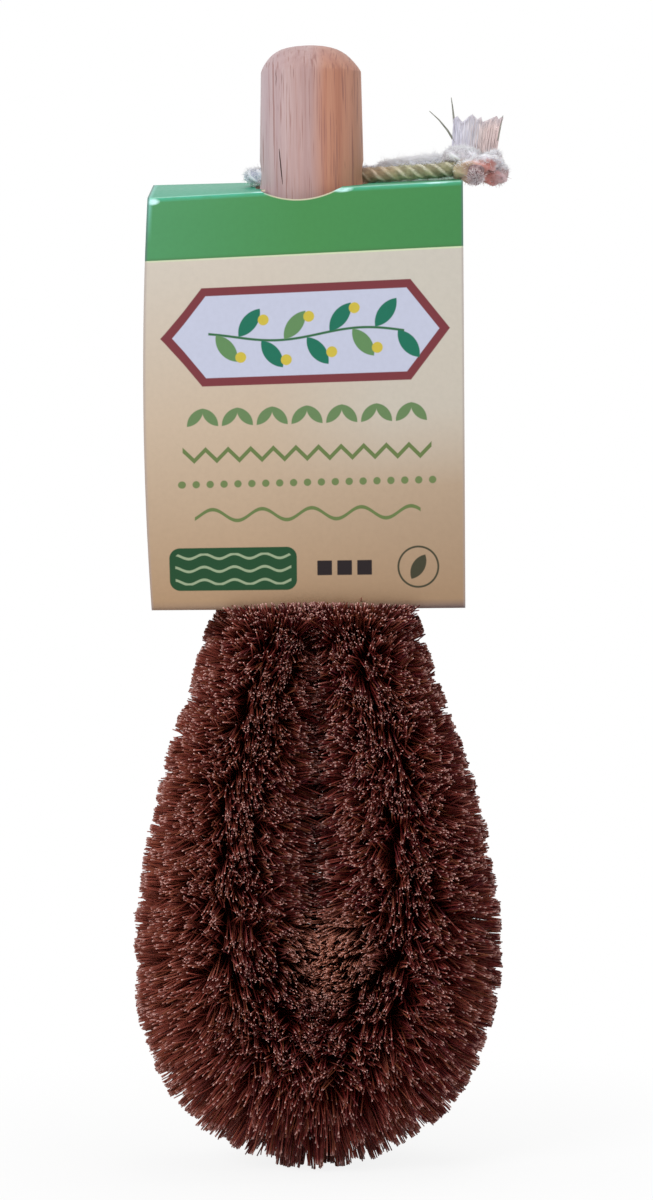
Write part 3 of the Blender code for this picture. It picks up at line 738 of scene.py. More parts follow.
def print_rows(spot):
    """Bands of plain ornament under the panel: leaf pairs, a zigzag, beads and a wave."""
    across, up, _ = parts_of(spot)
    from_middle = across - SHEET_MIDDLE
    inside = abs(from_middle) - 30.0

    def tile(half_width, height):
        """The spot's place in one tile of a row of them."""
        step = sums("WRAP", from_middle, half_width, -half_width)
        return reading(spot.tree, "CombineXYZ", step, up - height, 0.0)

    pair = tile(4.0, 44.6)
    pairs = lowest(*(leaf(pair, x, 0.4, angle, 5.6, 2.3) for x, angle in ((-1.7, 48), (1.7, 132))))
    zigzag = abs(up - (sums("PINGPONG", from_middle, 2.6) + 34.9)) - 0.62
    beads = apart(tile(1.6, 29.4)) - 0.85
    wave = abs(up - (sums("SINE", across * 0.55) * 1.3 + 22.2)) - 0.42
    lines = lowest(highest(zigzag, inside + 1.4), highest(wave, inside + 4.0))
    return highest(pairs, inside + 2.0), lines, highest(beads, inside)


def card_print(tree):
    """The whole print's colour: green top, cream body, panel, bands and small marks, with painted
    shade towards the bottom, the lower right and the bottom fold, and painted light on the green
    at the left.
    """
    spot = spot_of(tree, "UV")
    across, up, _ = parts_of(spot)
    level = lowest(up, SHEET_LENGTH - up)
    # The body darkens towards the bottom, partly the print's own gradient and partly painted shade.
    body = ramp(
        ranged(level, 0.0, 97.0),
        (0.0, (168, 136, 104)), (0.45, (194, 174, 152)), (0.80, (200, 190, 177)),
        (1.0, (204, 195, 184)),
    )
    # Painted shade towards the lower right.
    shaded = ranged(across, 20.0, 72.0, 0.0, 0.20) * ranged(level, 20.0, 60.0, 1.0, 0.20)
    greyer = ranged(across, 26.0, 54.0, 0.0, 0.66) * ranged(level, 28.0, 46.0)
    colour = layered(body, ((110, 90, 74), shaded), ((196, 192, 182), greyer))
    for shape, ink in (*panel_marks(spot), *foot_marks(spot), *back_marks(spot)):
        colour = over(colour, ink, edge_mask(shape))
    rim = ranged(level, 81.4, 81.6) * ranged(across, 0.0, 72.0, 0.6, 0.9)
    # The green is painted lighter and bluer at the left, as light from the lamp there.
    green = ramp(ranged(across, 0.0, 72.0),
                 (0.0, (74, 142, 92)), (0.5, (66, 134, 74)), (1.0, (62, 130, 72)))
    green = over(green, (62, 104, 60), ranged(level, 81.9, 82.6, 0.55, 0.0))
    # Painted shade along the bottom fold, deeper to the right.
    foot = ranged(abs(level), 0.3, 2.2, 1.0, 0.0) * ranged(across, 0.0, 72.0, 0.35, 1.0)
    colour = layered(
        colour,
        ((204, 218, 178), rim), (green, ranged(level, GREEN_FROM, 81.95)),
        ((112, 94, 92), foot), ((200, 196, 168), bare_edge(across, up)),
    )
    return colour, across, level


def panel_marks(spot):
    """The panel with its sprig, and the rows under it: each shape with its ink."""
    pairs, lines, beads = print_rows(spot)
    panel = long_hexagon(spot, SHEET_MIDDLE, 63.6, 33.0, 11.4, 24.0)
    stem, dark, light, berries = sprig(spot, SHEET_MIDDLE, 63.4, 22.5)
    return (
        (pairs, (98, 126, 82)), (lines, (98, 116, 66)), (beads, (104, 122, 74)),
        (panel, (114, 47, 54)), (panel + 1.9, (189, 193, 213)),
        (stem, (44, 98, 60)), (dark, (16, 105, 82)), (light, (92, 132, 84)),
        (berries, (197, 178, 64)),
    )


def foot_marks(spot):
    """A rippled badge, three tiles and a ringed leaf along the card's foot."""
    across, up, _ = parts_of(spot)
    badge = plate(spot, 19.0, MARKS_Y, 14.6, 5.0, 2.4)
    ripple = sums("SINE", across * 0.9) * 0.55
    ripples = abs(sums("WRAP", up + ripple - MARKS_Y, 1.5, -1.5)) - 0.30
    tiles = [plate(spot, 40.0 + 4.6 * i, MARKS_Y, 1.7, 1.7, 0.2) for i in range(3)]
    ring = abs(apart(spot, (61.6, MARKS_Y, 0)) - 4.6) - 0.22
    return (
        (badge, (18, 66, 34)), (highest(ripples, badge + 1.3), (148, 164, 132)),
        (lowest(*tiles), (24, 10, 14)),
        (lowest(ring, leaf(spot, 61.6, MARKS_Y, 60, 6.4, 3.0)), (58, 56, 38)),
    )


def back_marks(spot):
    """A fan of three leaves in a thin frame on the card's back."""
    line = abs(plate(spot, SHEET_MIDDLE, 188.0, 26.0, 25.0, 3.0)) - 0.3
    fan = [leaf(spot, SHEET_MIDDLE + 9.5 * math.cos(math.radians(angle)),
                193.0 - 9.5 * math.sin(math.radians(angle)), -angle, 17.0, 6.4)
           for angle in (35, 90, 145)]
    return (line, (96, 124, 64)), (lowest(*fan), (52, 132, 84))


def bare_edge(across, up):
    """Where the print is rubbed off along the dip over the front fold."""
    depth = DIP_DEPTH * 1000
    share = (across - (DIP_CENTRE_X - SLEEVE_LEFT) * 1000) / (DIP_HALF_WIDTH * 1000)
    drop = depth - share**2.0 * depth
    over_edge = up - (SLEEVE_HEIGHT * 1000 - 0.20) + drop
    inside = ranged(abs(share), 0.90, 0.94, 1.0, 0.0) * ranged(up, 97.0, 97.2, 1.0, 0.0)
    return edge_mask(over_edge * -1.0) * inside


def fold_light_and_edges(colour, across, level):
    """Painted light on the folds: the top panel lighter teal where it faces the light, a teal
    highlight and a bright line along the folds, white glints, and a highlight down the left
    edge. Darker lines run along the left and right edges.
    """
    wear_and_sheen = noise(level.tree, 1.0, 3.0, 0.6, (420, 420, 900))
    # Painted light: the top panel lighter and bluer where it faces the light from above.
    lit_top_panel = ranged(level, 97.4, 98.4, 0.0, 0.85) * ranged(across, 40.0, 60.0, 1.0, 0.45)
    # A painted highlight along the folds, broken up by noise, and a bright painted line on it.
    fold_highlight = ranged(abs(level - 96.9), 0.4, 1.5, 1.0, 0.0) * ranged(wear_and_sheen, 0.3, 0.6, 0.6, 1.0)
    line = ranged(abs(level - 97.3), 0.10, 0.28, 0.35, 0.0)
    colour = layered(
        colour,
        ((46, 158, 128), lit_top_panel), ((66, 186, 160), fold_highlight * 0.8), ((206, 240, 226), line),
    )
    # Painted glints on the folds.
    for place, half, height in GLINT_SPOTS:
        away = ((across - place) / half) ** 2.0 + ((level - height) / 0.75) ** 2.0
        glint = ranged(away, 0.2, 1.3, 1.0, 0.0) * ranged(wear_and_sheen, 0.3, 0.5, 0.6, 1.0)
        colour = over(colour, (206, 250, 246), glint)
    # A painted highlight down the left edge, near the top.
    left = ranged(level, 86.0, 94.0) * ranged(across, 0.2, 1.3, 0.7, 0.0)
    colour = over(colour, (140, 214, 202), left)
    printed = ranged(level, GREEN_FROM, 82.0)
    for edge in (abs(across), abs(across - SLEEVE_WIDTH * 1000)):
        line = ranged(edge, 0.25, 0.60, 0.80, 0.0)
        colour = layered(
            colour,
            ((84, 112, 104), line * printed),
            ((158, 146, 146), line * (1.0 - printed) * 0.6),
        )
    return colour


def card_finish():
    """Satin printed card with painted highlights on its folds and a faint mottle."""
    material, tree = finish("printed_card", 0.42, 0.28)
    mottle = noise(tree, 900.0)
    black = (0.0, 0.0, 0.0, 1.0)
    colour = over(fold_light_and_edges(*card_print(tree)), black, ranged(mottle, 0.35, 0.75, 0.0, 0.04))
    satin = ranged(mottle, 0.3, 0.7, 0.38, 0.46)
    return coated(material, colour, mottle, 0.03, 0.00006, satin)


# Camera


def looking(place, aim):
    """A camera's or lamp's place and turn, from where it stands to what it faces."""
    turn = (Vector(aim) - Vector(place)).to_track_quat("-Z", "Y")
    return Matrix.Translation(place) @ turn.to_matrix().to_4x4()


def camera():
    data = bpy.data.cameras.new("camera")
    eye = bpy.data.objects.new("camera", data)
    bpy.context.scene.collection.objects.link(eye)
    away = (Vector(CAMERA_AIM) - Vector(CAMERA_PLACE)).length
    data.sensor_width = 36
    data.lens = data.sensor_width * away / SEEN_HEIGHT
    eye.matrix_world = (
        looking(CAMERA_PLACE, CAMERA_AIM) @ Matrix.Rotation(CAMERA_ROLL, 4, "Z")
    )
    bpy.context.scene.camera = eye


# Rope


def smooth_route(route):
    """Points at an even spacing on a smooth curve through the route's own points."""
    spots = np.array(route) + (0.0, 0.0, ROPE_Z)
    spots = np.vstack([2 * spots[0] - spots[1], spots, 2 * spots[-1] - spots[-2]])
    dense = []
    for a, b, c, d in zip(spots, spots[1:], spots[2:], spots[3:]):
        t = np.arange(12)[:, None] / 12
        dense.append(
            0.5 * (2 * b + (c - a) * t + (2 * a - 5 * b + 4 * c - d) * t**2
                   + (3 * b - a - 3 * c + d) * t**3)
        )
    return evenly(np.vstack([*dense, spots[-2]]), ROPE_STEP)


def evenly(line, spacing):
    """The same line with points at an even spacing."""
    lengths = lengths_along(line)
    count = max(3, round(lengths[-1] / spacing) + 1)
    marks = np.linspace(0.0, lengths[-1], count)
    return np.stack([np.interp(marks, lengths, line[:, axis]) for axis in range(3)], axis=1)


def lengths_along(line):
    return np.concatenate([[0.0], np.cumsum(np.linalg.norm(np.diff(line, axis=0), axis=1))])


def unit(rows):
    return rows / np.linalg.norm(rows, axis=-1, keepdims=True)


def carried_frames(line):
    """Two directions across the line at each point, carried along it without twist."""
    ahead = unit(np.gradient(line, axis=0))
    across = np.empty_like(line)
    start = np.cross(ahead[0], (0.0, 0.0, 1.0))
    across[0] = start / np.linalg.norm(start)
    for i in range(1, len(line)):
        kept = across[i - 1] - ahead[i] * np.dot(across[i - 1], ahead[i])
        across[i] = kept / np.linalg.norm(kept)
    return across, np.cross(ahead, across)


def lumpy(points, centres, size, depth):
    """Points moved out from or in towards their centre line by a soft, uneven amount."""
    lifts = [lumps.noise(Vector(spot) / size) + 0.5 * lumps.noise(Vector(spot) / (size * 0.4))
             for spot in points]
    return points + unit(points - centres) * (np.array(lifts) * depth)[:, None]


def strand_outline(sides, groove):
    """Reach of three strands laid together, round the rope, and how high each spot stands."""
    angles = 2 * np.pi * np.arange(sides) / sides
    centre, strand = 0.536, 0.464
    from_crown = (angles + np.pi / 3) % (2 * np.pi / 3) - np.pi / 3
    under = strand**2 - (centre * np.sin(from_crown)) ** 2
    reach = centre * np.cos(from_crown) + np.sqrt(np.maximum(under, 0.0))
    reach = np.maximum(reach, groove)
    return angles, reach, (reach - groove) / (1 - groove)


def laid_rope(name, line, radius, lay, material, frames=None, closed=False, uneven=0.00015,
              groove=STRAND_GROOVE):
    """Three strands laid together as one skin, whose grooves follow the lay."""
    sides = 30
    angles, reach, crown = strand_outline(sides, groove)
    across, above = carried_frames(line) if frames is None else frames
    lengths = lengths_along(line)
    turns = 2 * np.pi * lengths / lay
    points, crowns = [], []
    for spot, one, two, turn in zip(line, across, above, turns):
        ring = angles + turn
        aside = np.cos(ring)[:, None] * one + np.sin(ring)[:, None] * two
        points.append(spot + aside * (radius * reach)[:, None])
        crowns.append(crown)
    rings = len(points)
    faces, marks = [], []
    for i in range(rings if closed else rings - 1):
        after = (i + 1) % rings
        for k in range(sides):
            next_k = (k + 1) % sides
            low, high = i * sides, after * sides
            faces.append((low + k, low + next_k, high + next_k, high + k))
            near = lengths[i] * 1000
            far = 1000 * (lengths[after] if after else lengths[-1] + lengths[1])
            one, two = k / sides, (k + 1) / sides
            marks += [(near, one), (near, two), (far, two), (far, one)]
    if not closed:
        for ring, order in ((0, -1), (rings - 1, 1)):
            faces.append(tuple(ring * sides + k for k in range(sides))[::order])
            marks += [(0.0, k / sides) for k in range(sides)]
    points = lumpy(np.vstack(points), np.repeat(line, sides, axis=0), 0.0011, uneven)
    piece = piece_from(name, points.tolist(), faces, [material])
    layer = piece.data.uv_layers.new(name="lay")
    layer.data.foreach_set("uv", np.array(marks, np.float32).ravel())
    carry(piece, crown=np.concatenate(crowns))
    start_editing(piece)
    turn_outward()
    stop_editing()
    piece.data.shade_smooth()
    return piece


def knot_line():
    """The rope winds three times round a ring while it goes round it twice."""
    t = 2 * np.pi * np.arange(KNOT_STEPS) / KNOT_STEPS
    turn = 2 * t + KNOT_TURN
    outward = np.stack([np.cos(turn), np.sin(turn), 0 * t], axis=1)
    upward = np.tile((0.0, 0.0, 1.0), (KNOT_STEPS, 1))
    lobe = outward * np.cos(3 * t)[:, None] + upward * np.sin(3 * t)[:, None]
    line = outward * KNOT_RING + lobe * KNOT_SWELL
    place = np.array(Matrix.Translation(KNOT_CENTRE) @ Matrix.Rotation(KNOT_TILT, 4, "Y"))
    line = line @ place[:3, :3].T + place[:3, 3]
    lobe = lobe @ place[:3, :3].T
    ahead = unit(np.roll(line, -1, axis=0) - np.roll(line, 1, axis=0))
    across = unit(lobe - ahead * np.sum(lobe * ahead, axis=1, keepdims=True))
    return line, (across, np.cross(ahead, across))


# Fine fibres, all copies of one tapered strand


def strand_shape(radius, tip_radius):
    """One strand as a tapered three-sided rod: its points, with heights 0 to 1, and faces."""
    bpy.ops.mesh.primitive_cone_add(
        vertices=3, radius1=radius, radius2=tip_radius, depth=1.0, location=(0, 0, 0.5)
    )
    rod = settled()
    start_editing(rod)
    pick_faces(rod, lambda middle, normal: middle.z < 0.01)
    bpy.ops.mesh.delete(type="FACE")
    pick_edges(rod, lambda one, two: abs(one.z - two.z) > 0.5)
    bpy.ops.mesh.subdivide(number_cuts=2)
    stop_editing()
    points = np.array([tuple(spot.co) for spot in rod.data.vertices])
    faces = [tuple(face.vertices) for face in rod.data.polygons]
    bpy.data.objects.remove(rod, do_unlink=True)
    return points, faces


def strands_along(name, shape, roots, reach, bends, tints, material, floor=None):
    """Copies of one strand, each from its root along its reach and bent by its bend."""
    template, template_faces = shape
    heights = template[:, 2]
    ahead = unit(reach + bends)
    helper = np.where(np.abs(ahead[:, 1:2]) < 0.9, (0.0, 1.0, 0.0), (1.0, 0.0, 0.0))
    across = unit(np.cross(ahead, helper))
    above = np.cross(ahead, across)
    t = heights[None, :, None]
    points = roots[:, None] + reach[:, None] * t + bends[:, None] * t**2
    if floor is not None:
        points = floor(points)
    points = points + across[:, None] * template[None, :, 0:1]
    points += above[:, None] * template[None, :, 1:2]
    points[..., 2] = np.maximum(points[..., 2], 0.0)
    count, corners = len(roots), len(template)
    faces = []
    for face in template_faces:
        rows = np.array(face)[None] + corners * np.arange(count)[:, None]
        faces += rows.tolist()
    piece = piece_from(name, points.reshape(-1, 3).tolist(), faces, [material])
    carry(piece, along=np.tile(heights, count), tint=np.repeat(tints, corners))
    piece.data.shade_smooth()
    return piece


def fuzz(name, shape, line, radius, count, longest, rng, material, lift=0.0):
    """Loose cotton hairs that stand off a rope, more of them on top where lift is more."""
    at = rng.integers(1, len(line) - 1, count)
    ahead = unit(line[at + 1] - line[at - 1])
    aside = rng.normal(size=(count, 3)) + (0.0, 0.0, lift)
    aside = unit(aside - ahead * np.sum(aside * ahead, axis=1, keepdims=True))
    length = longest * rng.uniform(0.3, 1.0, count)[:, None]
    roots = line[at] + aside * radius * 0.88
    reach = (aside * 0.35 + ahead * rng.uniform(-1, 1, (count, 1))) * length
    bends = rng.normal(size=(count, 3)) * length * 0.35
    return strands_along(name, shape, roots, reach, bends, rng.random(count), material)


def frayed_end(shape, rng, material):
    """The cut rope's fibres, combed out into a ragged fan above the knot."""
    count = 3600
    share = rng.uniform(0, 1, count)
    top = np.array(FRAY_TOP)
    roots = np.stack([0.0326 + 0.0102 * share, rng.normal(0, 0.00045, count),
                      np.full(count, KNOT_CENTRE[2] + 0.0030)], axis=1)
    x = FRAY_LEFT + FRAY_WIDTH * share + rng.normal(0, 0.00012, count)
    tips = np.stack([x, rng.normal(0, 0.00030, count),
                     np.interp(x, top[:, 0], top[:, 1]) * rng.uniform(0.9975, 1.0, count)], axis=1)
    bends = np.stack([(tips - roots)[:, 0] * 0.4, rng.normal(0, 0.0004, count), 0 * share], axis=1)
    return strands_along(
        "rope_frayed_fibres", shape, roots, tips - roots - bends, bends,
        np.clip(share + rng.normal(0, 0.10, count), 0, 1), material,
    )


def cut_end_fibres(shape, centre, rng, material):
    """Short fibres in three loose bunches on the rope's cut end, which faces the front."""
    count = 480
    bunch = np.radians(100 + 120 * rng.integers(0, 3, count) + rng.normal(0, 18, count))
    spread = rng.uniform(0, 2 * np.pi, count)
    reach_out = 0.00086 * np.sqrt(rng.random(count)) * rng.uniform(0.4, 1.1, count)
    level = np.zeros(count)
    aside = np.stack([0.00100 * np.cos(bunch) + reach_out * np.cos(spread), level,
                      0.0001 + 0.00082 * np.sin(bunch) + reach_out * np.sin(spread)], axis=1)
    roots = centre + aside + (0.0, 0.0003, 0.0)
    forward = np.stack([level, -rng.uniform(0.0003, 0.0016, count), level], axis=1)
    bends = rng.normal(0, 0.00030, (count, 3))
    return strands_along("rope_cut_end_fibres", shape, roots, aside * 0.30 + forward, bends,
                         rng.random(count), material)


def fray_core(material):
    """A thin web of matted fibres in the middle of the frayed fan."""
    low = KNOT_CENTRE[2] + 0.0020
    edge = [(x, z - 0.0002) for x, z in reversed(FRAY_TOP)]
    outline = [(0.0430, low), *edge, (0.0325, low)]
    web = piece_from("rope_fray_web", [(x, -WEB_THICKNESS / 2, z) for x, z in outline],
                     [tuple(range(len(outline)))], [material])
    start_editing(web)
    bpy.ops.mesh.select_all(action="SELECT")
    draw_out((0, WEB_THICKNESS, 0))
    turn_outward()
    stop_editing()
    x = np.array([spot.co.x for spot in web.data.vertices])
    carry(web, along=np.full(len(x), 0.5), tint=np.clip((x - FRAY_LEFT) / FRAY_WIDTH, 0, 1))
    return web


def wisps(shape, material):
    """Single stray fibres that stand clear of the frayed end."""
    roots, tips, bends = (np.array(column) for column in zip(*WISPS))
    return strands_along("rope_wisps", shape, roots, tips - roots - bends, bends,
                         np.zeros(len(WISPS)), material)


def hanging_rope():
    """The rope's front and back stretches, its knot, both ends and the loose cotton."""
    rng = np.random.default_rng(31)
    # Each rope's second colour is painted shade in its grooves.
    tan = cotton_finish("cotton_front", (218, 213, 193), (156, 150, 118), (196, 192, 154),
                        0.02, 0.6)
    white = cotton_finish("cotton_back", (238, 240, 250), (186, 188, 204), (226, 228, 240), 0.0)
    pink, fibre, down = knot_finish(), fibre_finish(), down_finish()
    # Painted shade: the cut end's dark colour shows between its strands and fibres.
    cut_end_shade = plain_finish("cotton_cut_end_shade", (128, 104, 106), (176, 152, 152), 1500.0, 0.9, 0.2)
    cut = plain_finish("cotton_cut", (206, 184, 184), (250, 246, 250), 900.0, 1.0, 0.0)
    dusty = plain_finish("stray_fibre", (136, 136, 126), (160, 160, 150), 900.0, 0.8, 0.1)
    hair, thick_hair = strand_shape(*HAIR), strand_shape(*THICK_HAIR)

    front, back = smooth_route(ROPE_FRONT_ROUTE), smooth_route(ROPE_BACK_ROUTE)
    front_rope = laid_rope("rope_front_laid", front, ROPE_SKIN, ROPE_LAY, tan)
    back_rope = laid_rope("rope_back_laid", back, ROPE_SKIN, ROPE_LAY, white)
    line, frames = knot_line()
    knot_length = lengths_along(np.vstack([line, line[:1]]))[-1]
    lay = knot_length / round(knot_length / ROPE_LAY)
    knot = laid_rope("rope_knot_laid", line, KNOT_SKIN, lay, pink, frames, closed=True,
                     uneven=0.0004, groove=KNOT_GROOVE)
    start = line[np.argmin(line[:, 1])] + (0.0, 0.0008, 0.0)
    stub_line = evenly(np.array([start, start + CUT_END_REACH]), 0.0003)
    stub = laid_rope("rope_cut_end_laid", stub_line, ROPE_RADIUS, ROPE_LAY, cut_end_shade)
    ends = cut_end_fibres(thick_hair, stub_line[-1], rng, cut)
    fray = frayed_end(thick_hair, rng, fibre)
    web = fray_core(fibre)
    loose = wisps(strand_shape(*STRAY_HAIR), dusty)
    front_fuzz = fuzz("rope_front_fuzz", hair, front, ROPE_SKIN, 2600, 0.0011, rng, tan)
    back_fuzz = fuzz("rope_back_fuzz", hair, back, ROPE_SKIN, 4000, 0.0013, rng, down)
    beside = back[(back[:, 0] > 0.0165) & (back[:, 1] < 0.010)]
    back_down = fuzz("rope_back_down", hair, beside, ROPE_SKIN, 4500, 0.0017, rng, down, 1.4)
    knot_fuzz = fuzz("rope_knot_fuzz", hair, line, KNOT_SKIN, 4500, 0.0011, rng, pink)
    knot_down = fuzz("rope_knot_down", hair, line, KNOT_SKIN, 6500, 0.0013, rng, down, 2.2)
    lobe = line[(line[:, 0] < KNOT_CENTRE[0] - 0.001) & (line[:, 2] > KNOT_CENTRE[2] + 0.0005)]
    lobe_down = fuzz("rope_lobe_down", hair, lobe, KNOT_SKIN, 3000, 0.0011, rng, down, 0.5)

    hand_over(front_rope, "brush", "cotton", "rope_front")
    hand_over(back_rope, "brush", "cotton", "rope_back")
    hand_over(knot, "brush", "cotton", "rope_knot")
    hand_over(stub, "brush", "cotton", "rope_cut_end")
    hand_over(fray, "brush", "cotton", "rope_frayed_end")
    for piece in (ends, web, loose, front_fuzz, back_fuzz, back_down, knot_fuzz, knot_down,
                  lobe_down):
        hand_over(piece, "brush", "cotton")


# Handle


def handle(wood, split):
    """A turned dowel: chamfered foot with a blind bore, slight taper, dome and rope hole."""
    foot = sum(height for height, _ in HANDLE_FOOT)
    straight_top = ROPE_Z - HANDLE_RADIUS
    bpy.ops.mesh.primitive_cylinder_add(
        vertices=HANDLE_SIDES, radius=HANDLE_RADIUS, depth=straight_top - HANDLE_BOTTOM_Z - foot,
        location=(0, 0, (straight_top + HANDLE_BOTTOM_Z + foot) / 2),
    )
    dowel = settled()
    start_editing(dowel)
    pick_faces(dowel, lambda middle, normal: normal.z < -0.9)
    radius = HANDLE_RADIUS
    for height, inset in HANDLE_FOOT:
        draw_out((0, 0, -height), (HANDLE_RADIUS - inset) / radius)
        radius = HANDLE_RADIUS - inset
    draw_out((0, 0, 0), SOCKET_RADIUS / radius, (0, 0, HANDLE_BOTTOM_Z))
    draw_out((0, 0, SOCKET_TOP_Z - HANDLE_BOTTOM_Z))
    pick_faces(dowel, lambda middle, normal: normal.z > 0.9 and middle.z > straight_top - 0.0001)
    dome_z = HANDLE_TOP_Z - DOME_RISE
    draw_out((0, 0, dome_z - straight_top), HANDLE_TOP_RADIUS / HANDLE_RADIUS)
    at, radius = 0.0, HANDLE_TOP_RADIUS
    for step in range(1, DOME_STEPS):
        rise = math.sin(math.pi / 2 * step / DOME_STEPS) ** 1.25
        smaller = HANDLE_TOP_RADIUS * float(np.interp(rise, DOME_RISES, DOME_WIDTHS))
        draw_out((0, 0, (rise - at) * DOME_RISE), smaller / radius)
        bpy.ops.transform.translate(value=(-DOME_LEAN * (rise - at), 0, 0))
        at, radius = rise, smaller
    draw_out((0, 0, (1 - at) * DOME_RISE))
    bpy.ops.mesh.merge(type="CENTER")
    bpy.ops.mesh.select_all(action="SELECT")
    bpy.ops.mesh.remove_doubles(threshold=0.000001)
    turn_outward()
    stop_editing()
    dowel.data.materials.append(wood)
    cut_away(dowel, rope_hole_cutter(wood))
    cut_away(dowel, split_cutter(split))
    hand_over(dowel, "brush", "wood", "handle", name="handle_turned", smooth=28)


def rope_hole_cutter(wood):
    """A round hole along X whose two mouths flare in a soft curve."""
    bpy.ops.mesh.primitive_cylinder_add(
        vertices=40, radius=ROPE_HOLE_RADIUS, depth=2 * ROPE_HOLE_INNER,
        location=(0, 0, ROPE_Z), rotation=(0, math.pi / 2, 0),
    )
    rod = settled()
    start_editing(rod)
    for side in (1, -1):
        pick_faces(rod, lambda middle, normal: normal.x * side > 0.9)
        radius = ROPE_HOLE_RADIUS
        for wider in ROPE_HOLE_FLARE:
            draw_out((side * FLARE_STEP, 0, 0), wider / radius, (0, 0, ROPE_Z))
            radius = wider
    stop_editing()
    rod.data.materials.append(wood)
    return rod


def split_cutter(split):
    """A thin lens that opens the drying split left of the middle, and follows its lean."""
    high, low = Vector(SPLIT_TOP), Vector(SPLIT_FOOT)
    bpy.ops.mesh.primitive_uv_sphere_add(
        segments=12, ring_count=10, radius=1.0, location=(high + low) / 2,
        rotation=(0, math.atan2(high.x - low.x, high.z - low.z), 0),
        scale=(*SPLIT_SIZE, (high - low).length / 2),
    )
    lens = settled()
    lens.data.materials.append(split)
    return lens


# Card sleeve


def card_warp(points):
    """The square box's points, moved to the real card's slant, bow and bulge."""
    x, y, z = points[:, 0].copy(), points[:, 1].copy(), points[:, 2].copy()
    up = (z - SLEEVE_BOTTOM_Z) / SLEEVE_HEIGHT
    back = (y + SLEEVE_FRONT) / (SLEEVE_FRONT + SLEEVE_BACK)
    aside = x - SLEEVE_CENTRE_X
    lift = SLEEVE_TOP_SLANT * aside + back * (SLEEVE_BACK_RISE + SLEEVE_BACK_TWIST * aside)
    arch = np.maximum(0.0, 1 - (2 * up - 1) ** 2)
    front = np.clip(1 - (y + SLEEVE_FRONT) / 0.0006, 0, 1)
    left = np.clip(1 - (x - SLEEVE_LEFT) / SLEEVE_EDGE_REACH, 0, 1) ** 2
    points[:, 0] -= SLEEVE_EDGE_BULGE * arch * left
    points[:, 1] -= SLEEVE_BOW * arch * front
    points[:, 2] += np.clip(up, 0, 1) * lift
    return points


def card_marks(x, y, z, normal):
    """Where a spot of the flat card lies on the printed sheet, in millimetres."""
    across = x - SLEEVE_LEFT
    depth = SLEEVE_FRONT + SLEEVE_BACK
    if abs(normal.y) > 0.7:
        if normal.y < 0:
            return across * 1000, (z - SLEEVE_BOTTOM_Z) * 1000
        return across * 1000, (SLEEVE_HEIGHT + depth + SLEEVE_TOP_Z - z) * 1000
    if normal.z > 0:
        return across * 1000, (SLEEVE_HEIGHT + y + SLEEVE_FRONT) * 1000
    return across * 1000, -(y + SLEEVE_FRONT) * 1000


def card_sleeve(printed, inside, edge):
    """One folded sheet of card with two holes, from a box open at its left and right."""
    middle = ((SLEEVE_BACK - SLEEVE_FRONT) / 2, (SLEEVE_BOTTOM_Z + SLEEVE_TOP_Z) / 2)
    bpy.ops.mesh.primitive_cube_add(
        size=1, location=(SLEEVE_CENTRE_X, *middle),
        scale=(SLEEVE_WIDTH, SLEEVE_FRONT + SLEEVE_BACK, SLEEVE_HEIGHT),
    )
    box = settled()
    start_editing(box)
    pick_faces(box, lambda spot, normal: abs(normal.x) > 0.9)
    bpy.ops.mesh.delete(type="ONLY_FACE")
    pick_edges(box, lambda one, two: abs(one.x - two.x) > SLEEVE_WIDTH / 2)
    bpy.ops.mesh.bevel(offset=SLEEVE_FOLD, segments=5, affect="EDGES")
    columns = [((SLEEVE_LEFT + SLEEVE_WIDTH * share, 0, 0), (1, 0, 0))
               for share in np.linspace(0, 1, 19)[1:-1]]
    rows = [((0, 0, SLEEVE_BOTTOM_Z + SLEEVE_HEIGHT * share), (0, 0, 1))
            for share in np.linspace(0, 1, 17)[1:-1]]
    for place, across in columns + rows:
        bpy.ops.mesh.select_all(action="SELECT")
        bpy.ops.mesh.bisect(plane_co=place, plane_no=across)
    turn_outward()
    stop_editing()
    lay_print(box)
    mesh = box.data
    points = np.array([tuple(spot.co) for spot in mesh.vertices])
    mesh.vertices.foreach_set("co", card_warp(points).ravel())
    mesh.update()
    for material in (printed, inside, edge):
        mesh.materials.append(material)
    wall = box.modifiers.new("card", "SOLIDIFY")
    wall.thickness = CARD
    wall.offset = -1.0
    wall.material_offset = 1
    wall.material_offset_rim = 2
    apply_all(box)
    for cutter in (handle_hole_cutter(edge), dip_cutter(edge), neck_hole_cutter(edge)):
        cut_away(box, cutter)
    hand_over(box, "sleeve", "card", "card_sleeve", name="card_sleeve_printed", smooth=32)


def lay_print(box):
    """Gives each corner its place on the printed sheet, before the card is warped."""
    mesh = box.data
    layer = mesh.uv_layers.new(name="print") if not mesh.uv_layers else mesh.uv_layers[0]
    layer.name = "print"
    for face in mesh.polygons:
        for loop in face.loop_indices:
            spot = mesh.vertices[mesh.loops[loop].vertex_index].co
            layer.data[loop].uv = card_marks(*spot, face.normal)


def glue_flap(inside):
    """The narrow flap glued inside the foot of the back panel."""
    y = SLEEVE_BACK - CARD - 0.00026
    bpy.ops.mesh.primitive_cube_add(
        size=1, location=(SLEEVE_CENTRE_X, y, SLEEVE_BOTTOM_Z + 0.0012 + GLUE_FLAP / 2),
        scale=(SLEEVE_WIDTH - 0.004, FLAP_THICKNESS, GLUE_FLAP),
    )
    flap = settled()
    start_editing(flap)
    corner_z = SLEEVE_BOTTOM_Z + 0.01
    pick_edges(flap, lambda one, two: abs(one.y - two.y) > 0.0002 and one.z > corner_z)
    bpy.ops.mesh.bevel(offset=FLAP_CORNER, segments=1, affect="EDGES")
    stop_editing()
    flap.data.materials.append(inside)
    hand_over(flap, "sleeve", "card", name="card_glue_flap", smooth=32)


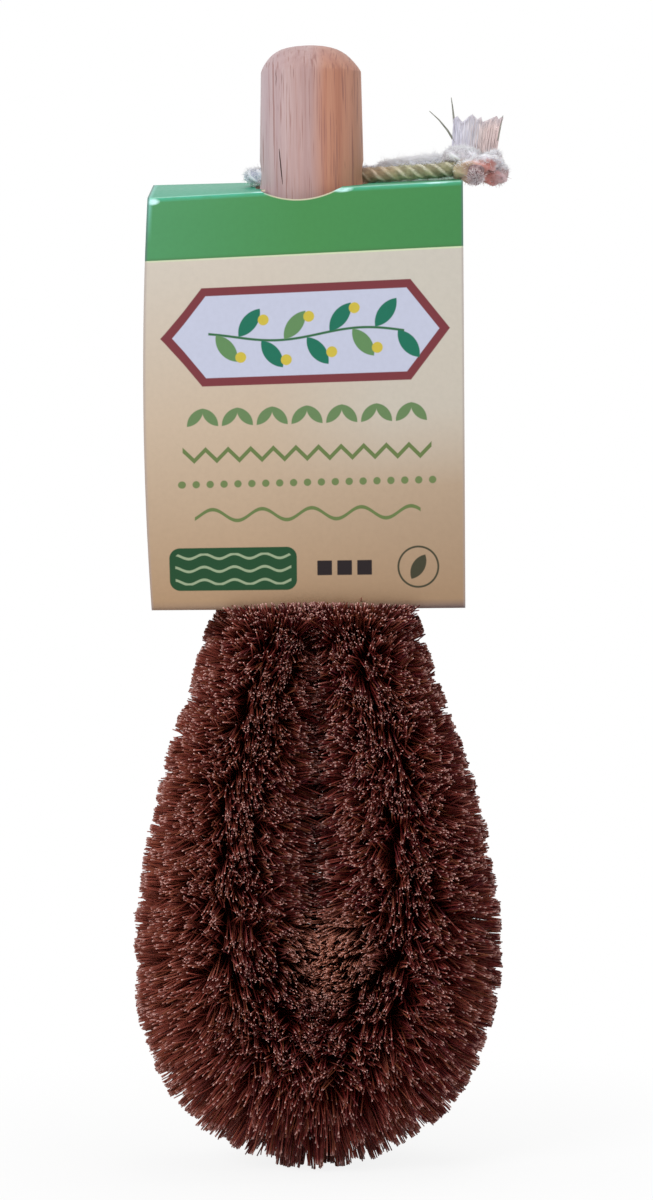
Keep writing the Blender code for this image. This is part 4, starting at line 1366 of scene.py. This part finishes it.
def drum(name, outline, low, high, material):
    """A straight-walled cutter from an outline, drawn out along Z."""
    face = tuple(range(len(outline)))
    piece = piece_from(name, [(x, y, low) for x, y in outline], [face], [material])
    start_editing(piece)
    bpy.ops.mesh.select_all(action="SELECT")
    draw_out((0, 0, high - low))
    turn_outward()
    stop_editing()
    return piece


def squared_round(half_x, front, back, power):
    """A round outline that is fuller at its corners where the power is more than 2."""
    outline = []
    for step in range(HOLE_SIDES):
        angle = 2 * math.pi * (step + 0.5) / HOLE_SIDES
        c, s = math.cos(angle), math.sin(angle)
        reach = back if s > 0 else front
        x = half_x * math.copysign(abs(c) ** (2 / power), c)
        outline.append((x, reach * math.copysign(abs(s) ** (2 / power), s)))
    return outline


def handle_hole_cutter(edge):
    """The squared round hole in the top, which the handle stands in."""
    half = HANDLE_RADIUS + HANDLE_HOLE_SPARE
    outline = squared_round(half, HOLE_FRONT_REACH, half, HOLE_SQUARENESS)
    return drum("handle_hole", outline, SLEEVE_TOP_Z - 0.008, SLEEVE_TOP_Z + 0.012, edge)


def dip_cutter(edge):
    """The hole's dip over the front fold: deepest in the middle, level with it at its ends."""
    fold = SLEEVE_TOP_Z + SLEEVE_TOP_SLANT * (DIP_CENTRE_X - SLEEVE_CENTRE_X)
    reach = DIP_HALF_WIDTH
    outline = [(reach, 0.012), (-reach, 0.012)]
    for step in range(41):
        share = step / 20 - 1
        slant = SLEEVE_TOP_SLANT * share * reach
        drop = DIP_DEPTH * (1 - share**2)
        outline.append((share * reach, slant - drop + 0.0001))
    depth = SLEEVE_FRONT - HANDLE_RADIUS + 0.006
    piece = drum("dip", outline, 0.0, depth, edge)
    piece.matrix_world = Matrix.Translation(
        (DIP_CENTRE_X, -SLEEVE_FRONT - 0.002 + depth, fold)
    ) @ Matrix.Rotation(math.pi / 2, 4, "X")
    return piece


def neck_hole_cutter(edge):
    """The slot in the bottom, which the neck passes through."""
    outline = squared_round(
        NECK_HOLE_HALF_WIDTH, NECK_HOLE_HALF_DEPTH, NECK_HOLE_HALF_DEPTH, 4.0
    )
    low, high = SLEEVE_BOTTOM_Z - CARD, SLEEVE_BOTTOM_Z + 3 * CARD
    return drum("neck_hole", outline, low, high, edge)


# Bristles


def bezier(start, first, second, end, count=240):
    t = np.linspace(0.0, 1.0, count)[:, None]
    ends = (1 - t) ** 3 * np.array(start) + t**3 * np.array(end)
    return ends + 3 * (1 - t) ** 2 * t * np.array(first) + 3 * (1 - t) * t**2 * np.array(second)


def half_loop():
    """The right half's (x, z) from the bottom to the neck, and the length to each."""
    belly_z = LOOP_BOTTOM_Z + BELLY_HEIGHT
    lower = bezier(
        (0.0, LOOP_BOTTOM_Z), (BOTTOM_ROUNDING, LOOP_BOTTOM_Z),
        (BELLY_HALF_WIDTH, belly_z - BELLY_ROUNDING_BELOW), (BELLY_HALF_WIDTH, belly_z),
    )
    upper = bezier(
        (BELLY_HALF_WIDTH, belly_z), (BELLY_HALF_WIDTH, belly_z + BELLY_ROUNDING_ABOVE),
        (NECK_HALF_GAP, NECK_Z - NECK_ROUNDING), (NECK_HALF_GAP, NECK_Z),
    )
    line = np.vstack([lower, upper[1:]])
    return line, lengths_along(line)


HALF_LINE, HALF_LENGTHS = half_loop()
BRISTLED_END = float(HALF_LENGTHS[-1]) - BARE_NECK


def loop_places(s):
    """Places on the wires' centre line, s metres from the bottom, right where positive."""
    x, z = (np.interp(np.abs(s), HALF_LENGTHS, HALF_LINE[:, axis]) for axis in range(2))
    return np.stack([np.copysign(x, s), np.zeros_like(s), z], axis=1)


def loop_directions(s):
    """Directions along the loop and out of it."""
    step = 0.0006
    along = unit(loop_places(s + step) - loop_places(s - step))
    return along, np.stack([along[:, 2], np.zeros_like(s), -along[:, 0]], axis=1)


def trimmed_length(roots, out, out_share, side_share):
    """How far the trimmed head reaches from the wires, in a direction across them."""
    height = roots[:, 2]
    above = height - LOOP_BOTTOM_Z
    from_belly = (above - BELLY_FULLNESS_HEIGHT) / BELLY_FULLNESS_SPREAD
    fuller = BELLY_FULLNESS * np.exp(-(from_belly**2))
    tip_height = height + out[:, 2] * out_share * TIP_LENGTH
    uneven = np.where(roots[:, 0] < 0, np.interp(tip_height, TRIM_HEIGHTS, TRIM_LEFT),
                      np.interp(tip_height, TRIM_HEIGHTS, TRIM_RIGHT))
    outward = TIP_LENGTH - SHORTER_PER_METRE * above + fuller
    outward += uneven * np.maximum(out_share, 0.0) * np.abs(out[:, 0])
    side = HALF_THICKNESS - THINNER_PER_METRE * np.maximum(0.0, above - THINNER_FROM_HEIGHT)
    return 1.0 / np.hypot(out_share / outward, side_share / side)


def bristle_directions(s, rng):
    """Each bristle's shares out of the loop, to the side and along it."""
    count = len(s)
    angle = 2 * np.pi * s / TWIST_PITCH + np.pi / 2 + np.pi * rng.integers(0, 2, count)
    angle += rng.normal(0, LOCK_SPREAD, count)
    loose = rng.random(count) < LOOSE_SHARE
    angle[loose] = rng.uniform(0, 2 * np.pi, loose.sum())
    at_rim = rng.random(count) < RIM_SHARE * np.clip(2 - 2 * np.abs(s) / RIM_LENGTH, 0.0, 1.0)
    angle[at_rim] = rng.normal(0, RIM_SPREAD, at_rim.sum())
    side_share = np.sin(angle)
    lean = LEAN_ALONG[0] + LEAN_ALONG[1] * np.abs(side_share)
    return np.cos(angle), side_share, rng.normal(0, 1, count) * lean


def bristle_lines(rng):
    """Each bristle's place along the loop, its root, its first reach and its bend."""
    s = np.sort(rng.uniform(-BRISTLED_END + 0.0002, BRISTLED_END - 0.0002, BRISTLES))
    out_share, side_share, lean = bristle_directions(s, rng)
    along, out = loop_directions(s)
    side = np.tile((0.0, 1.0, 0.0), (len(s), 1))
    roots = loop_places(s) + (out * out_share[:, None] + side * side_share[:, None]) * ROOT_RADIUS
    length = trimmed_length(roots, out, out_share, side_share) - ROOT_RADIUS
    length *= 1 + np.clip(rng.normal(0, TRIM_SPREAD, len(s)), *TRIM_LIMITS)
    share = SHORT_SHARE + SHORT_AT_FOOT * np.clip((FOOT_TOP - roots[:, 2]) / FOOT_FADE, 0.0, 1.0)
    short = rng.random(len(s)) < share * (0.35 + 0.65 * np.abs(side_share))
    length[short] *= rng.uniform(*SHORT_RANGE, short.sum())
    step = 0.003
    before, after = loop_directions(s - step)[0], loop_directions(s + step)[0]
    turn = (before[:, 0] * after[:, 2] - before[:, 2] * after[:, 0]) / (2 * step)
    inward = out_share * turn < -TIGHT_TURN
    length[inward] = np.minimum(length[inward], 0.95 / np.abs(out_share * turn)[inward])

    first, last, length = inner_fan(roots, out, out_share, length, rng)
    face = np.where(side_share < 0, -1.0, 1.0)

    def aimed(angle):
        aim = -out * np.cos(angle)[:, None] + side * (face * np.sin(angle))[:, None]
        return unit(np.where((out_share < 0)[:, None], aim,
                             out * out_share[:, None] + side * side_share[:, None])
                    + along * lean[:, None]) * length[:, None]

    reach = aimed(first)
    tips = aimed(last)
    low = roots[:, 2] + tips[:, 2] < 0
    tips[low] *= (roots[low, 2] / -tips[low, 2])[:, None]
    reach[low] *= (np.linalg.norm(tips[low], axis=1) / length[low])[:, None]
    wander = rng.normal(0, WANDER, (len(s), 3)) * length[:, None]
    ahead = unit(tips)
    wander -= ahead * np.sum(wander * ahead, axis=1, keepdims=True)
    bends = tips - reach + wander
    turn_to_faces(roots, reach, bends, face, rng)
    at_rim = np.clip((out_share - RIM_FROM) / (1 - RIM_FROM), 0.0, 1.0)
    firmness = 1 + RIM_FIRMNESS * at_rim
    for locks in (LARGE_LOCKS, SMALL_LOCKS):
        gather(roots, reach, bends, locks, firmness, rng)
    return s, roots, reach, bends


def turn_to_faces(roots, reach, bends, face, rng):
    """Bristles that crowd the middle of the loop turn their tips to the front or back,
    so that a tip there is seen end on.
    """
    tips = roots + reach + bends
    away = np.hypot(tips[:, 0] - CROWDED_PLACE[0], tips[:, 2] - CROWDED_PLACE[1])
    share = np.clip(1.4 - away / CROWDED_RADIUS, 0.0, 1.0)
    room = np.maximum(CROWDED_DEPTH - np.abs(tips[:, 1]), 0.0)
    bends[:, 1] += face * room * share * rng.uniform(0.0, 0.9, len(room)) ** 1.3
    whole = reach + bends
    reach += (whole * END_ON - reach) * share[:, None]
    bends[:] = whole - reach


def inner_fan(roots, out, out_share, length, rng):
    """Bristles that point into the loop meet those of the other arm, and turn to the
    front or back. Gives each one's angle from straight inward at its root and at its
    tip, and its length.
    """
    inward = out_share < 0
    fan = np.arccos(np.clip(-out_share, 0.0, 1.0))
    cross = rng.uniform(*CROSS_OVER, len(roots))
    room = np.maximum(np.abs(roots[:, 0]) + cross, 0.0005) / np.maximum(np.abs(out[:, 0]), 0.05)
    level = np.abs(out[:, 0]) > 0.6
    longest = np.where(inward & level & (room < 0.030), np.maximum(length, room), length)
    least = np.maximum(INNER_FAN, np.arccos(np.clip(room / longest, 0.0, 1.0)))
    last = least + (np.pi / 2 - least) * fan / (np.pi / 2)
    share = np.clip((math.radians(60) - last) / math.radians(45), 0.0, 1.0)
    first = fan * (0.45 + 0.55 * fan / (np.pi / 2))
    return first, last, length + (longest - length) * share


def gather(roots, reach, bends, locks, firmness, rng):
    """Draws the tips together into locks, and sets each lock a little aside."""
    count, least, most, aside = locks
    tips = roots + reach + bends
    seeds = rng.choice(len(tips), count, replace=False)
    tree = KDTree(count)
    for i, seed in enumerate(seeds):
        tree.insert(tips[seed], i)
    tree.balance()
    mine = np.array([tree.find(tip)[1] for tip in tips])
    away = tips[seeds[mine]] - tips
    shift = rng.normal(0, aside, (count, 3))[mine]
    ahead = unit(reach + bends)
    shift -= ahead * np.sum(shift * ahead, axis=1, keepdims=True)
    moved = away * rng.uniform(least, most, (len(tips), 1)) * firmness[:, None] + shift
    moved[np.linalg.norm(away, axis=1) > LOCK_REACH] = 0.0
    bends += moved


def fringe(roots, reach, bends, rng):
    """Front bristles next to the card hook under its lower edge and rise before it."""
    tips = roots + reach + bends
    x, z = tips[:, 0], roots[:, 2]
    ready = (z > FRINGE_ROOTS[0]) & (z < FRINGE_ROOTS[1]) & (tips[:, 1] < FRINGE_BEFORE)
    ready &= (x > FRINGE_SPAN[0]) & (x < FRINGE_SPAN[1]) & (rng.random(len(z)) < FRINGE_SHARE)
    count = int(ready.sum())
    y = rng.uniform(*FRINGE_REACH, count)
    passing = (-SLEEVE_FRONT - 0.0009 - roots[ready, 1]) / (y - roots[ready, 1])
    edge = SLEEVE_BOTTOM_Z - 0.0006 - roots[ready, 2]
    low_at_ends = 0.0007 * (tips[ready, 0] / 0.020) ** 2
    ragged = FRINGE_RAGGED * rng.random(count) ** 1.5
    top = FRINGE_TOP - low_at_ends - ragged - roots[ready, 2]
    bend = np.maximum((top * passing - edge) / (passing - passing**2), 0.0)
    reach[ready, 1] = (y - roots[ready, 1]) - bends[ready, 1]
    bends[ready, 0] += rng.normal(0, 0.0010, count)
    bends[ready, 2] = bend
    reach[ready, 2] = top - bend


def under_card(points):
    """Keeps bristles out of the card: below it, in its neck hole, or in front of it."""
    limit, spare = SLEEVE_BOTTOM_Z - 0.0004, 0.0005
    x, y, z = points[..., 0], points[..., 1], points[..., 2]
    in_front = y < -SLEEVE_FRONT - spare
    in_hole = np.abs(x) < NECK_HOLE_HALF_WIDTH - 0.001
    in_hole &= np.abs(y) < NECK_HOLE_HALF_DEPTH - 0.0006
    z[:] = np.where((z > limit) & ~in_front & ~in_hole, limit, z)
    return points


def narrow_neck(roots, reach, bends):
    """Bristles inside the sleeve lie flatter, so that its neck hole passes over them."""
    inside = roots[:, 2] > SLEEVE_BOTTOM_Z - 0.0030
    tips = roots + reach + bends
    share = np.minimum(1.0, (NECK_HOLE_HALF_DEPTH - 0.0008) / np.maximum(np.abs(tips[:, 1]), 1e-6))
    factor = np.where(inside, share, 1.0)[:, None]
    reach *= factor
    bends *= factor


def bristles(coir):
    """All the bristles, parted into one piece for each tuft of the solid model."""
    rng = np.random.default_rng(11)
    shape = strand_shape(BRISTLE_RADIUS, BRISTLE_TIP_RADIUS)
    s, roots, reach, bends = bristle_lines(rng)
    fringe(roots, reach, bends, rng)
    narrow_neck(roots, reach, bends)
    tints = np.clip(rng.beta(2.2, 2.6, len(s)), 0, 1)
    count = 2 * TUFTS_A_SIDE + 1
    tuft = 2 * BRISTLED_END / count
    for i in range(count):
        number = i - TUFTS_A_SIDE
        side = "left" if number < 0 else "right"
        cad_name = f"coir_{side}_{abs(number)}" if number else "coir_tip"
        start = -BRISTLED_END + 2 * BRISTLED_END * i / count
        mine = (s >= start) & (s < start + tuft)
        piece = strands_along(
            "bristles_" + cad_name[5:], shape, roots[mine], reach[mine], bends[mine],
            tints[mine], coir, floor=under_card,
        )
        hand_over(piece, "brush", "coir", cad_name)


# Wires, floor and light


def wires(steel):
    """The two wires keep their solids, and take the steel's finish."""
    for name in ("wire_strand_a", "wire_strand_b"):
        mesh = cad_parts[name].data
        mesh.materials.clear()
        mesh.materials.append(steel)


def rays(tree, *kinds):
    """1 for a ray of one of these kinds, and 0 for any other."""
    path = node(tree, "LightPath")
    return highest(*(Reading(path.outputs[f"Is {kind} Ray"]) for kind in kinds))


def white_stage():
    """A white table that keeps the brush's shadow near it, before a white room."""
    material, tree = finish("white_table", 0.9, 0.1)
    coated(material, (0.92, 0.92, 0.92, 1))
    glow = reading(tree, "Emission", (1, 1, 1, 1), 1.0)
    far = ranged(apart(spot_of(tree)), 0.03, 0.16, 0.86, 1.0)
    mask = rays(tree, "Camera", "Glossy") * far
    mix = reading(tree, "MixShader", mask, Reading(shader_of(material).outputs[0]), glow)
    connect(tree.nodes["Material Output"].inputs["Surface"], mix)
    bpy.ops.mesh.primitive_plane_add(size=6.0, location=(0, 0, -0.00005))
    table = settled()
    table.name = "white_table"
    table.data.materials.append(material)


def world_light():
    world = bpy.data.worlds.new("white_room")
    bpy.context.scene.world = world
    world.use_nodes = True
    tree = world.node_tree
    tree.nodes.clear()
    seen = reading(tree, "Background", (1, 1, 1, 1), 1.0)
    soft = reading(tree, "Background", (1.0, 0.99, 0.98, 1), 0.46)
    mix = reading(tree, "MixShader", rays(tree, "Camera", "Glossy", "Transmission"), soft, seen)
    node(tree, "OutputWorld", mix)


def lamp(name, place, aim, size, power, colour):
    data = bpy.data.lights.new(name, "AREA")
    data.shape = "SQUARE"
    data.size = size
    data.energy = power
    data.color = colour
    light = bpy.data.objects.new(name, data)
    bpy.context.scene.collection.objects.link(light)
    light.matrix_world = looking(place, aim)


def lights():
    """A window at the left, a weak fill at the right and a little sky."""
    world_light()
    lamp("window", (-0.55, -0.70, 0.62), (0, 0, 0.12), 0.45, 5.4, (0.98, 0.99, 1.0))
    lamp("fill", (0.60, -0.60, 0.65), (0, 0, 0.12), 0.50, 1.3, (1.0, 0.98, 0.95))
    lamp("sky", (0.12, 0.06, 0.95), (0, 0, 0.20), 0.40, 1.5, (0.98, 0.99, 1.0))


def main():
    for selected in list(bpy.context.selected_objects):
        selected.select_set(False)
    bpy.context.scene.view_settings.view_transform = "Standard"
    camera()
    hanging_rope()
    # The split's walls are painted dark, as shade inside the crack.
    split = plain_finish("split_painted_shade", (74, 46, 38), (96, 62, 50), 2000.0, 0.8)
    handle(wood_finish(), split)
    inside = plain_finish("card_inside", (168, 158, 142), (182, 172, 156), 700.0, 0.8)
    edge = plain_finish("card_cut_edge", (222, 210, 184), (232, 222, 200), 1500.0, 0.8)
    card_sleeve(card_finish(), inside, edge)
    glue_flap(inside)
    bristles(coir_finish())
    wires(steel_finish())
    white_stage()
    lights()


main()
